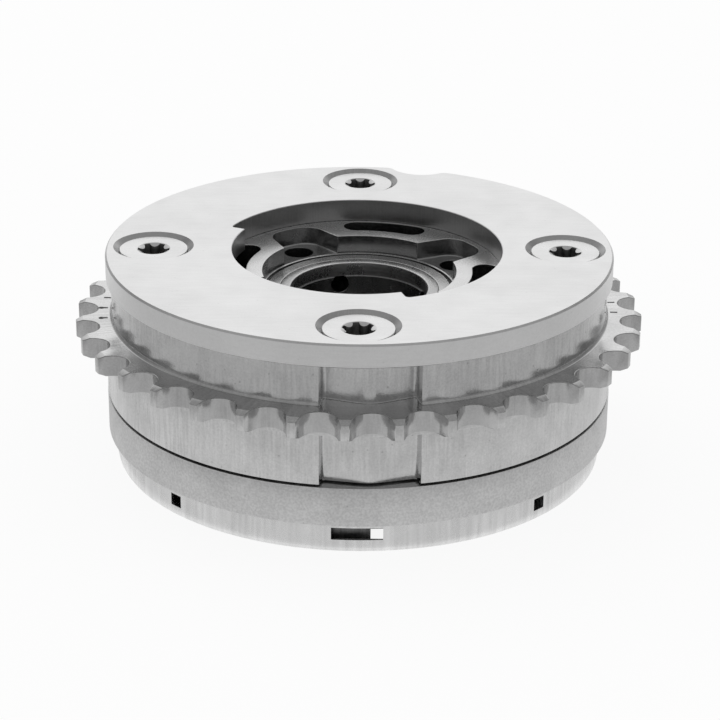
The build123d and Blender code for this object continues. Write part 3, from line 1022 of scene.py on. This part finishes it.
    def marks(self) -> list[Piece]:
        """Return the cutters for the engraved timing marks and the punched dots."""
        middle = (self.mark_middle, 0, self.band_high + 0.05)
        lines = [block("mark", self.mark_size, middle, azimuth) for azimuth in self.mark_azimuths]
        low, high = self.band_high - self.dot_depth, self.band_high + self.dot_depth
        places = [polar(self.dot_circle, azimuth) for azimuth in self.dot_azimuths]
        return lines + [rod("dot", self.dot_r, place, low, high, 24) for place in places]

    def build(self) -> Piece:
        """Return the housing's shape."""
        body = self.blank()
        for cutter in (self.gullets, self.pockets, self.hollow, self.screw_holes):
            combine(body, cutter())
        for mark in self.marks():
            combine(body, mark)
        soften(body, self.edge, clamp=False)
        return body

    def second_finishes(self) -> list[tuple[str, Chosen]]:
        """Return the darker finish of the teeth's flanks and the floors between them, painted shade."""
        return [("tooth_flank", self.is_flank)]

    def is_flank(self, place: Vector, normal: Vector) -> bool:
        """Tell whether a face lies between two teeth."""
        between = self.root_r - 0.15 < place.xy.length < self.tip_r - 0.3
        return between and abs(normal.z) < 0.5 and self.band_low - 0.1 < place.z < self.band_high + 0.1


@dataclass
class CoverPlate(SubAssembly):
    """The flat cover with its opening, rim notch and four countersinks."""

    slot = "ground_steel"
    nodes = ("cover_plate",)
    low: float = 32.4
    high: float = 36.3
    radius: float = 42.75
    small_r: float = 21.5
    large_r: float = 24.1
    large_start: float = 288.5
    large_end: float = 156.5
    step_round: float = 0.7
    notch_azimuth: float = 75.6
    notch_depth: float = 2.85
    notch_width: float = 9.8
    notch_round: float = 2.0
    sink_r: float = 6.78
    hole_r: float = 3.25
    rim_edge: float = 0.3
    edge: float = 0.1

    def outline(self) -> list[Point]:
        """Return the cover's outline with its notch, the notch around +X."""
        half = self.notch_width / 2
        bite = (half * half + self.notch_depth**2) / (2 * self.notch_depth)
        middle = self.radius - self.notch_depth + bite
        inset = self.radius - self.notch_round
        between = bite + self.notch_round
        lean = math.acos((inset**2 + middle**2 - between**2) / (2 * inset * middle))
        swing = math.degrees(lean)
        shoulder = polar(inset, swing)
        turn_in = math.degrees(math.atan2(shoulder[1], middle - shoulder[0]))
        return [
            *arc((0, 0), self.radius, swing, 360 - swing, 352),
            *arc((shoulder[0], -shoulder[1]), self.notch_round, -swing, turn_in, 12)[1:],
            *arc((middle, 0), bite, 180 + turn_in, 180 - turn_in, 24)[1:],
            *arc(shoulder, self.notch_round, -turn_in, swing, 12)[1:-1],
        ]

    def opening(self) -> Piece:
        """Return the cutter for the opening with its two radii."""
        half = (self.large_end + 360 - self.large_start) / 2
        outline = fan(18.0, self.large_r, half, self.step_round, 152)
        wide = turn(prism("wide", outline, self.low - PAST, self.high + PAST), self.large_start + half)
        past = 1.5 * PAST
        small = rod("small", self.small_r, (0, 0), self.low - past, self.high + past, 240)
        return combine(small, wide, "UNION")

    def sinks(self) -> Piece:
        """Return the cutter for the four countersunk holes."""
        cone_low, low, past = self.high - (self.sink_r - self.hole_r), self.low - PAST, 0.5 * PAST
        profile = [
            (0, low),
            (self.hole_r, low),
            (self.hole_r, cone_low),
            (self.sink_r + past, self.high + past),
            (0, self.high + past),
        ]
        return copies_around(move(lathe("sink", profile, 96), (SCREW_CIRCLE, 0)), QUARTERS)

    def build(self) -> Piece:
        """Return the cover's shape."""
        body = prism("cover_disc", self.outline(), self.low, self.high)
        round_flat_edges(body, self.high, self.rim_edge, 1)
        turn(body, self.notch_azimuth)
        combine(body, self.opening())
        combine(body, self.sinks())
        soften(body, self.edge, 1, 50.0, clamp=False)
        return body

    def second_finishes(self) -> list[tuple[str, Chosen]]:
        """Return the finishes of the opening's wall, darker as painted shade, and of the countersinks'
        cones.
        """
        return [("cut_wall", self.is_wall), ("countersink", self.is_cone)]

    def is_wall(self, place: Vector, normal: Vector) -> bool:
        """Tell whether a face lies on the wall of the opening."""
        return place.xy.length < self.large_r + 1 and abs(normal.z) < 0.5

    def is_cone(self, place: Vector, normal: Vector) -> bool:
        """Tell whether a face lies on the cone of a countersink."""
        return screw_distance(place) < self.sink_r + 0.1 and 0.5 < normal.z < 0.85


@dataclass
class CoverScrew(SubAssembly):
    """A countersunk screw with a six-lobe recess."""

    slot = "screw_steel"
    number: int
    drive_turn: float
    tip: float = 7.2
    rod_r: float = 3.0
    head_r: float = 5.7
    head_top: float = 35.8
    cone_top: float = 35.29
    point: float = 0.8
    drive_r: float = 2.68
    lead_r: float = 2.83
    lead_depth: float = 0.42
    scallop_r: float = 0.92
    waist_r: float = 1.98
    drive_depth: float = 2.3
    edge: float = 0.1

    @property
    def nodes(self) -> tuple[str, ...]:
        """Return the CAD node of this screw."""
        return ("cover_screw_" + str(self.number),)

    def recess(self) -> Piece:
        """Return the cutter for the six-lobe recess and its lead-in."""
        top = self.head_top
        low = top - self.drive_depth
        star = rod("star", self.drive_r, (0, 0), low, top + 0.5 * PAST, 96)
        scallop_place = (self.waist_r + self.scallop_r, 0)
        scallop = rod("scallop", self.scallop_r, scallop_place, low - PAST, top + PAST, 48)
        combine(star, copies_around(scallop, [60.0 * index for index in range(6)]))
        slope = (self.lead_r - self.waist_r) / self.lead_depth
        lead_low = top - self.lead_depth - 0.1
        profile = [
            (0, lead_low),
            (self.waist_r - 0.1 * slope, lead_low),
            (self.lead_r + 0.3 * slope, top + 0.3),
            (0, top + 0.3),
        ]
        return combine(star, lathe("lead", profile, 96), "UNION")

    def build(self) -> Piece:
        """Return the screw's shape, in its place."""
        profile = [
            (0, self.tip),
            (self.rod_r - self.point, self.tip),
            (self.rod_r, self.tip + self.point),
            (self.rod_r, self.cone_top - (self.head_r - self.rod_r)),
            (self.head_r, self.cone_top),
            (self.head_r, self.head_top),
            (0, self.head_top),
        ]
        body = lathe("countersunk_screw_" + str(self.number), profile, 96)
        combine(body, turn(self.recess(), self.drive_turn))
        soften(body, self.edge)
        return turn(move(body, (SCREW_CIRCLE, 0)), QUARTERS[self.number - 1])

    def second_finishes(self) -> list[tuple[str, Chosen]]:
        """Return the darker finish of the recess, painted shade."""
        return [("screw_recess", self.is_recess)]

    def is_recess(self, place: Vector, normal: Vector) -> bool:
        """Tell whether a face is a wall or the floor of the recess, under its lead-in.

        Args:
            place: The face's centre, in millimetres.
            normal: Its normal.

        Returns:
            True for the recess's walls and floor.
        """
        floor = self.head_top - self.drive_depth
        inside = screw_distance(place) < self.drive_r + 0.05 and floor - 0.05 < place.z
        return inside and (normal.z < 0.5 or place.z < self.head_top - 1.5)


@dataclass
class Rotor(SubAssembly):
    """The rotor: hub, vanes, lobed recess, kidneys, bore, journal and spring hub."""

    body = "rotor"
    slot = "rotor_steel"
    nodes = ("rotor",)
    low: float = 12.05
    high: float = 32.35
    hub_r: float = 26.5
    journal_r: float = 17.95
    journal_low: float = 4.5
    spring_hub_r: float = 17.0
    hub_low: float = 1.6
    bore_r: float = 11.4
    bore_edge: float = 0.5
    seat_r: float = 13.5
    seat_z: float = 26.75
    floor_z: float = 29.1
    recess_r: float = 16.43
    land_r: float = 15.55
    groove_width: float = 0.6
    groove_depth: float = 1.1
    rest: float = 33.0
    vane_r: float = 37.52
    vane_half: float = 11.0
    vane_round: float = 1.9
    seal_width: float = 3.0
    seal_depth: float = 3.1
    lobe_start: float = 10.0
    lobe_reach: float = 23.0
    lobe_inner: float = 10.6
    lobe_outer: float = 8.6
    lobe_round: float = 3.4
    lobe_rise: float = 0.03
    foot_round: float = 0.35
    kidney_inner: float = 19.2
    kidney_outer: float = 23.55
    kidney_half: float = 19.5
    kidney_depth: float = 14.0
    lobe_hole_r: float = 2.5
    lobe_hole_circle: float = 19.6
    lobe_hole_depth: float = 11.0
    oil_r: float = 1.58
    oil_offset: float = 15.7
    upper_oil_z: float = 25.4
    lower_oil_z: float = 17.45
    lock_r: float = 3.25
    lock_circle: float = 30.0
    lock_azimuth: float = 123.0
    slot_width: float = 2.1
    slot_depth: float = 2.0
    slot_azimuth: float = 200.0
    edge: float = 0.1

    def blank(self) -> Piece:
        """Turn the rotor without its vanes."""
        groove_out = self.land_r + self.groove_width
        groove_z = self.floor_z - self.groove_depth
        profile = [
            (self.bore_r + self.bore_edge, self.hub_low),
            (self.spring_hub_r, self.hub_low),
            (self.spring_hub_r, self.journal_low),
            (self.journal_r, self.journal_low),
            (self.journal_r, self.low),
            (self.hub_r, self.low),
            (self.hub_r, self.high),
            (self.recess_r, self.high),
            (self.recess_r, self.floor_z),
            (groove_out, self.floor_z),
            (groove_out, groove_z),
            (self.land_r, groove_z),
            (self.land_r, self.floor_z),
            (self.seat_r, self.floor_z),
            (self.seat_r, self.seat_z),
            (self.bore_r, self.seat_z),
            (self.bore_r, self.hub_low + self.bore_edge),
        ]
        return lathe("rotor_hub", [*profile, profile[0]])

    def azimuths(self, offset: float = 0.0) -> list[float]:
        """Return the four vanes' azimuths, shifted by an offset."""
        return [self.rest + offset + azimuth for azimuth in QUARTERS]

    def vanes(self) -> Piece:
        """Return the four vanes with their seal grooves."""
        outline = fan(self.hub_r - 2, self.vane_r, self.vane_half, self.vane_round, 24)
        vane = prism("vane", outline, self.low, self.high)
        size = (2 * self.seal_depth, self.seal_width, self.high - self.low + 2 * PAST)
        combine(vane, block("groove", size, (self.vane_r, 0, (self.low + self.high) / 2), 0))
        return copies_around(vane, self.azimuths())

    def lobes(self) -> Piece:
        """Return the cutter for the four lobes of the recess."""
        slope = (self.lobe_outer - self.lobe_inner) / (self.lobe_reach - self.recess_r) / 2
        start = self.lobe_start
        half_start = self.lobe_inner / 2 + slope * (start - self.recess_r)
        length = math.hypot(1, slope)
        inset = self.lobe_reach - self.lobe_round
        side = self.lobe_inner / 2 - slope * self.recess_r - self.lobe_round * length
        root = math.sqrt((side * slope) ** 2 - length**2 * (side**2 - inset**2))
        centre_x = (root - side * slope) / length**2
        centre = (centre_x, side + slope * centre_x)
        far = math.degrees(math.atan2(centre[1], centre[0]))
        near = math.degrees(math.atan2(1, -slope))
        outline = [
            (start, -half_start),
            *arc((centre[0], -centre[1]), self.lobe_round, -near, -far, 10),
            *arc((0, 0), self.lobe_reach, -far, far, 10)[1:-1],
            *arc(centre, self.lobe_round, far, near, 10),
            (start, half_start),
        ]
        floor = self.floor_z + self.lobe_rise
        lobe = prism("lobe", outline, floor, self.high + PAST)
        round_flat_edges(lobe, floor, self.foot_round)
        lobes = copies_around(lobe, self.azimuths())
        core = rod("core", self.recess_r - 0.02, (0, 0), floor + 0.02, self.high + PAST, 180)
        return combine(lobes, core, "UNION")

    def kidneys(self) -> Piece:
        """Return the cutter for the four kidney pockets."""
        width = self.kidney_outer - self.kidney_inner
        middle = (self.kidney_outer + self.kidney_inner) / 2
        half = self.kidney_half - math.degrees(width / 2 / middle)
        far, near = polar(middle, half), polar(middle, -half)
        outline = arc((0, 0), self.kidney_outer, -half, half, 24)
        outline += arc(far, width / 2, half, half + 180, 14)[1:]
        outline += arc((0, 0), self.kidney_inner, half, -half, 24)[1:]
        outline += arc(near, width / 2, 180 - half, 360 - half, 14)[1:-1]
        kidney = prism("kidney", outline, self.high - self.kidney_depth, self.high + PAST)
        return copies_around(kidney, self.azimuths(45.0))

    def lobe_holes(self) -> Piece:
        """Return the cutter for the blind holes in the lobes."""
        low = self.floor_z - self.lobe_hole_depth
        hole = rod("hole", self.lobe_hole_r, (self.lobe_hole_circle, 0), low, self.floor_z + PAST, 48)
        return copies_around(hole, self.azimuths())

    def drillings(self, height: float, offset: float) -> Piece:
        """Return the cutter for four radial oil holes.

        Args:
            height: Height of their axes.
            offset: Angle from the vanes, in degrees.

        Returns:
            The cutter.
        """
        bpy.ops.object.select_all(action="DESELECT")
        start = self.bore_r / 2
        length = self.hub_r + PAST - start
        bpy.ops.mesh.primitive_cylinder_add(
            vertices=40,
            radius=self.oil_r,
            depth=length,
            location=(start + length / 2, 0, height),
            rotation=(0, math.pi / 2, 0),
        )
        return copies_around(bake(bpy.context.object, "drilling"), self.azimuths(offset))

    def build(self) -> Piece:
        """Return the rotor's shape."""
        body = self.blank()
        combine(body, self.vanes(), "UNION")
        for cutter in (self.lobes, self.kidneys, self.lobe_holes):
            combine(body, cutter())
        combine(body, self.drillings(self.upper_oil_z, -self.oil_offset))
        combine(body, self.drillings(self.lower_oil_z, self.oil_offset))
        lock_place = polar(self.lock_circle, self.lock_azimuth)
        combine(body, rod("lock", self.lock_r, lock_place, self.low - PAST, self.high + PAST, 64))
        slot_size = (2 * self.slot_depth, self.slot_width, self.journal_low - self.hub_low + PAST)
        slot_place = (self.spring_hub_r, 0, (self.journal_low + self.hub_low - PAST) / 2)
        combine(body, block("slot", slot_size, slot_place, self.slot_azimuth))
        soften(body, self.edge, clamp=False)
        return body

    def second_finishes(self) -> list[tuple[str, Chosen]]:
        """Return the darker finish of walls, pocket floors and what lies deeper: painted shade, with its
        own roughness.
        """
        return [("pressed_wall", self.is_wall_or_deeper)]

    def is_wall_or_deeper(self, place: Vector, normal: Vector) -> bool:
        """Tell whether a face is a wall or lies deeper than the ground top faces."""
        recess = place.z > self.floor_z - 0.2 and place.xy.length < self.recess_r
        return normal.z < 0.6 or not (place.z > self.high - 0.2 or recess)


@dataclass
class HubRing(SubAssembly):
    """The ring pressed into the top of the hub."""

    body = "rotor"
    slot = "ring_steel"
    nodes = ("hub_ring",)
    bore_r: float = 11.65
    outer_r: float = 13.49
    low: float = 26.75
    high: float = 29.1
    edge: float = 0.16

    def build(self) -> Piece:
        """Return the ring's shape."""
        shoulder = self.high - self.edge
        profile = [
            (self.bore_r, self.low),
            (self.outer_r, self.low),
            *arc((self.outer_r - self.edge, shoulder), self.edge, 0, 90, 3),
            *arc((self.bore_r + self.edge, shoulder), self.edge, 90, 180, 3),
            (self.bore_r, self.low),
        ]
        return lathe("pressed_ring", profile, 256)


@dataclass
class BackPlate(SubAssembly):
    """The back plate with its bearing bore, tapped holes and spring anchor."""

    slot = "turned_steel"
    nodes = ("back_plate",)
    low: float = 5.4
    high: float = 12.0
    spigot_z: float = 4.5
    bore_r: float = 18.0
    radius: float = 43.0
    spigot_r: float = 40.29
    edge: float = 0.15
    tap_r: float = 3.05
    tap_depth: float = 5.2
    seat_r: float = 5.2
    seat_depth: float = 4.0
    seat_circle: float = 30.0
    seat_azimuth: float = 123.0
    dowel_r: float = 1.52
    dowel_depth: float = 4.2
    dowel_circle: float = 33.6
    dowel_azimuth: float = 193.0
    lug_reach: float = 37.25
    lug_azimuth: float = 268.46
    lug_depth: float = 1.9
    lug_width: float = 2.6
    lug_low: float = 1.8
    lug_root: float = 0.5

    def build(self) -> Piece:
        """Return the back plate's shape."""
        profile = [
            (self.bore_r, self.spigot_z),
            (self.spigot_r, self.spigot_z),
            (self.spigot_r, self.low),
            (self.radius, self.low),
            (self.radius, self.high),
            (self.bore_r, self.high),
        ]
        body = lathe("rear_plate", [*profile, profile[0]])
        top = self.high + PAST
        tap = rod("tap", self.tap_r, (SCREW_CIRCLE, 0), self.high - self.tap_depth, top, 40)
        combine(body, copies_around(tap, QUARTERS))
        seat_place = polar(self.seat_circle, self.seat_azimuth)
        combine(body, rod("seat", self.seat_r, seat_place, self.high - self.seat_depth, top, 64))
        dowel_place = polar(self.dowel_circle, self.dowel_azimuth)
        combine(body, rod("dowel", self.dowel_r, dowel_place, self.high - self.dowel_depth, top, 32))
        lug_height = self.spigot_z + self.lug_root - self.lug_low
        lug_place = (self.lug_reach, 0, self.lug_low + lug_height / 2)
        lug = block("lug", (self.lug_depth, self.lug_width, lug_height), lug_place, self.lug_azimuth)
        combine(body, lug, "UNION")
        soften(body, self.edge, 3)
        return body


@dataclass
class SpringCup(SubAssembly):
    """The lower cup with its rolled rim and three windows."""

    slot = "drawn_steel"
    nodes = ("spring_cup",)
    high: float = 5.4
    radius: float = 41.6
    wall: float = 1.3
    rim_r: float = 0.95
    inner_rim_r: float = 0.25
    front_azimuth: float = 270.0
    front_width: float = 8.3
    front_low: float = 2.3
    front_high: float = 4.4
    side_azimuths: tuple[float, float] = (224.7, 315.3)
    side_width: float = 2.35
    side_low: float = 1.9
    side_high: float = 4.0
    thin_wall: float = 0.6
    thin_margin: tuple[float, float] = (1.2, 0.9)
    edge: float = 0.1

    def window(self, azimuth: float, width: float, low: float, high: float) -> Piece:
        """Return the cutter for one window and the thinned wall behind it.

        Args:
            azimuth: Where the window is, in degrees.
            width: Its width.
            low: Height of its sill.
            high: Height of its top.

        Returns:
            The cutter.
        """
        middle = (low + high) / 2
        hole_place = (self.radius - self.wall / 2, 0, middle)
        hole = block("window", (4 * self.wall, width, high - low), hole_place, azimuth)
        aside, above = self.thin_margin
        thin_size = (2 * self.wall, width + 2 * aside, high - low + 2 * above)
        thin = block("thin", thin_size, (self.radius - self.thin_wall - self.wall, 0, middle), azimuth)
        return combine(hole, thin, "UNION")

    def build(self) -> Piece:
        """Return the cup's shape."""
        inner = self.radius - self.wall
        profile = [
            (self.radius, self.high),
            *arc((self.radius - self.rim_r, self.rim_r), self.rim_r, 0, -90, 8),
            *arc((inner + self.inner_rim_r, self.inner_rim_r), self.inner_rim_r, -90, -180, 4),
            (inner, self.high),
            (self.radius, self.high),
        ]
        body = lathe("rolled_cup", profile)
        soften(body, self.edge, angle=40.0)
        combine(body, self.window(self.front_azimuth, self.front_width, self.front_low, self.front_high))
        for azimuth in self.side_azimuths:
            combine(body, self.window(azimuth, self.side_width, self.side_low, self.side_high))
        return body


# Stage


@dataclass(frozen=True)
class Lamp:
    """A square soft lamp, which leaves reflections to the sky."""

    name: str
    place: tuple[float, float, float]
    size: float
    power: float

    def build(self) -> None:
        """Hang the lamp and point it at the object."""
        data = bpy.data.lights.new(self.name, "AREA")
        data.size = self.size
        data.energy = self.power
        lamp = bpy.data.objects.new(self.name, data)
        lamp.visible_glossy = False
        bpy.context.scene.collection.objects.link(lamp)
        lamp.location = self.place
        down = Vector((0, 0, 0.02)) - lamp.location
        lamp.rotation_euler = down.to_track_quat("-Z", "Y").to_euler()


@dataclass
class Studio:
    """Floor, sky, lamps and the camera of the photograph.

    The camera's sizes are in millimetres, the floor's and the lamps' in metres.
    """

    focus: tuple[float, float, float] = (0.24, 0.0, 15.6)
    distance: float = 414.8
    elevation: float = 23.099
    roll: float = 0.459
    lens: float = 120.52
    floor_size: float = 8.0
    floor_tone: float = 0.8
    floor_share: float = 0.9
    # Painted glow of the floor, seen only in reflections: brighter near the object and towards the back.
    near_floor_glow: float = 0.74
    far_floor_glow: float = 0.46
    glow_fade_reach: Point = (0.04, 0.13)
    back_floor_glow: float = 0.82
    back_glow_reach: Point = (0.01, 0.1)
    covered_r: float = 0.0405
    # A painted glow ring around the object's foot, seen in reflections.
    foot_glow_reach: Point = (0.0427, 0.0447)
    # A painted patch of light on the floor under the front window.
    window_light_patch: Point = (0.004, 0.0025)
    window_light_front: float = -0.025
    low_sky: float = 0.2
    high_sky: float = 0.32
    sky_band: Point = (0.4, 0.62)
    glow_tilt: float = 0.4
    glow_band: Point = (0.7, 1.08)
    horizon_band: Point = (-0.1, 0.3)
    plain_level: float = 0.9
    lamps: tuple[Lamp, ...] = (
        Lamp("key", (-0.5, 0.5, 0.9), 0.8, 2.0),
        Lamp("fill", (0.7, -0.2, 0.6), 0.6, 0.4),
    )

    def floor(self) -> None:
        """Lay a pale floor that keeps the object's shadow, with a painted glow that metal reflects and a
        painted patch of light under the front window.
        """
        bpy.ops.object.select_all(action="DESELECT")
        bpy.ops.mesh.primitive_plane_add(size=self.floor_size, location=(0, 0, 0))
        plane = bpy.context.object
        plane.name = "floor"
        material = bpy.data.materials.new("pale_floor_painted_glow")
        material.use_nodes = True
        tree = material.node_tree
        wiring = Wiring(tree)
        shader = tree.nodes["Principled BSDF"]
        shader.inputs["Base Color"].default_value = (*[self.floor_tone] * 3, 1)
        shader.inputs["Roughness"].default_value = 0.9
        shader.inputs["Specular IOR Level"].default_value = 0.1
        path = wiring.node("ShaderNodeLightPath", {}).outputs
        place = wiring.node("ShaderNodeTexCoord", {}).outputs["Object"]
        spot = wiring.node("ShaderNodeSeparateXYZ", {"Vector": place}).outputs
        radius = wiring.node("ShaderNodeVectorMath", {0: place}, operation="LENGTH").outputs["Value"]
        # Painted reflections: to glossy rays the floor glows less away from the object and more towards the
        # back.
        level = wiring.ramp(radius, self.glow_fade_reach, (self.near_floor_glow, self.far_floor_glow))
        level = wiring.ramp(spot["Y"], self.back_glow_reach, (level, self.back_floor_glow))
        # Painted glow ring around the object's foot.
        level = wiring.maths("MAXIMUM", level, wiring.ramp(radius, self.foot_glow_reach, (1.0, 0.0)))
        strength = wiring.maths("MAXIMUM", path["Is Camera Ray"], level)
        white = wiring.node("ShaderNodeEmission", {"Strength": strength})
        seen = wiring.maths("MAXIMUM", path["Is Camera Ray"], path["Is Glossy Ray"])
        seen = wiring.maths("MAXIMUM", seen, path["Is Transmission Ray"])
        # Painted light: a patch under the front window that glows where the object covers the floor.
        middle, half = self.window_light_patch
        aside = wiring.maths("ABSOLUTE", wiring.maths("SUBTRACT", spot["X"], middle))
        patch = wiring.maths("LESS_THAN", aside, half)
        patch = wiring.maths("MULTIPLY", patch, wiring.maths("LESS_THAN", spot["Y"], self.window_light_front))
        free = wiring.maths("GREATER_THAN", radius, self.covered_r)
        share = wiring.maths("MULTIPLY", wiring.maths("MAXIMUM", free, patch), self.floor_share)
        mixed = {1: shader.outputs["BSDF"], 2: white.outputs["Emission"]}
        mixed["Fac"] = wiring.maths("MULTIPLY", seen, share)
        surface = wiring.node("ShaderNodeMixShader", mixed).outputs["Shader"]
        wiring.put(surface, tree.nodes["Material Output"].inputs["Surface"])
        plane.data.materials.append(material)

    def sky(self) -> None:
        """Make an even pale sky, which metal sees bright behind and dimmer in front."""
        world = bpy.data.worlds.new("studio")
        bpy.context.scene.world = world
        world.use_nodes = True
        wiring = Wiring(world.node_tree)
        background = world.node_tree.nodes["Background"].inputs
        background["Color"].default_value = (1.0, 1.0, 1.0, 1.0)
        direction = wiring.node("ShaderNodeTexCoord", {}).outputs["Generated"]
        split = wiring.node("ShaderNodeSeparateXYZ", {"Vector": direction}).outputs
        back = wiring.maths("ADD", wiring.maths("MULTIPLY", split["Z"], self.glow_tilt), split["Y"])
        base = wiring.ramp(split["Z"], self.sky_band, (self.low_sky, self.high_sky))
        metal = wiring.ramp(back, self.glow_band, (base, 1.0))
        metal = wiring.ramp(split["Z"], self.horizon_band, (base, metal))
        path = wiring.node("ShaderNodeLightPath", {}).outputs
        level = wiring.ramp(path["Is Glossy Ray"], (0.0, 1.0), (self.plain_level, metal))
        seen = wiring.maths("MAXIMUM", path["Is Camera Ray"], path["Is Transmission Ray"])
        wiring.put(wiring.ramp(seen, (0.0, 1.0), (level, 1.0)), background["Strength"])

    def camera(self) -> None:
        """Set the camera as the photograph was taken."""
        data = bpy.data.cameras.new("camera")
        data.lens = self.lens
        data.sensor_width = 36.0
        data.clip_start = 0.01
        data.clip_end = 20.0
        camera = bpy.data.objects.new("camera", data)
        bpy.context.scene.collection.objects.link(camera)
        rise = math.radians(self.elevation)
        back = Vector((0, -math.cos(rise), math.sin(rise)))
        camera.location = (Vector(self.focus) + back * self.distance) * MM
        look = (-back).to_track_quat("-Z", "Y").to_matrix()
        camera.rotation_euler = (look @ Matrix.Rotation(math.radians(self.roll), 3, "Z")).to_euler()
        bpy.context.scene.camera = camera

    def build(self) -> None:
        """Set the stage."""
        self.floor()
        self.sky()
        for lamp in self.lamps:
            lamp.build()
        self.camera()
        bpy.context.scene.view_settings.view_transform = "Standard"


def main() -> None:
    """Build the stage and every piece in order."""
    logging.basicConfig(level=logging.INFO, format="%(message)s")
    Studio().build()
    dresser = Dresser.build()
    dresser.dress_nodes()
    screws = [CoverScrew(index + 1, drive_turn) for index, drive_turn in enumerate(DRIVE_TURNS)]
    for maker in (SprocketHousing(), CoverPlate(), *screws, Rotor(), HubRing(), BackPlate(), SpringCup()):
        maker.make(dresser)


if __name__ == "__main__":
    main()
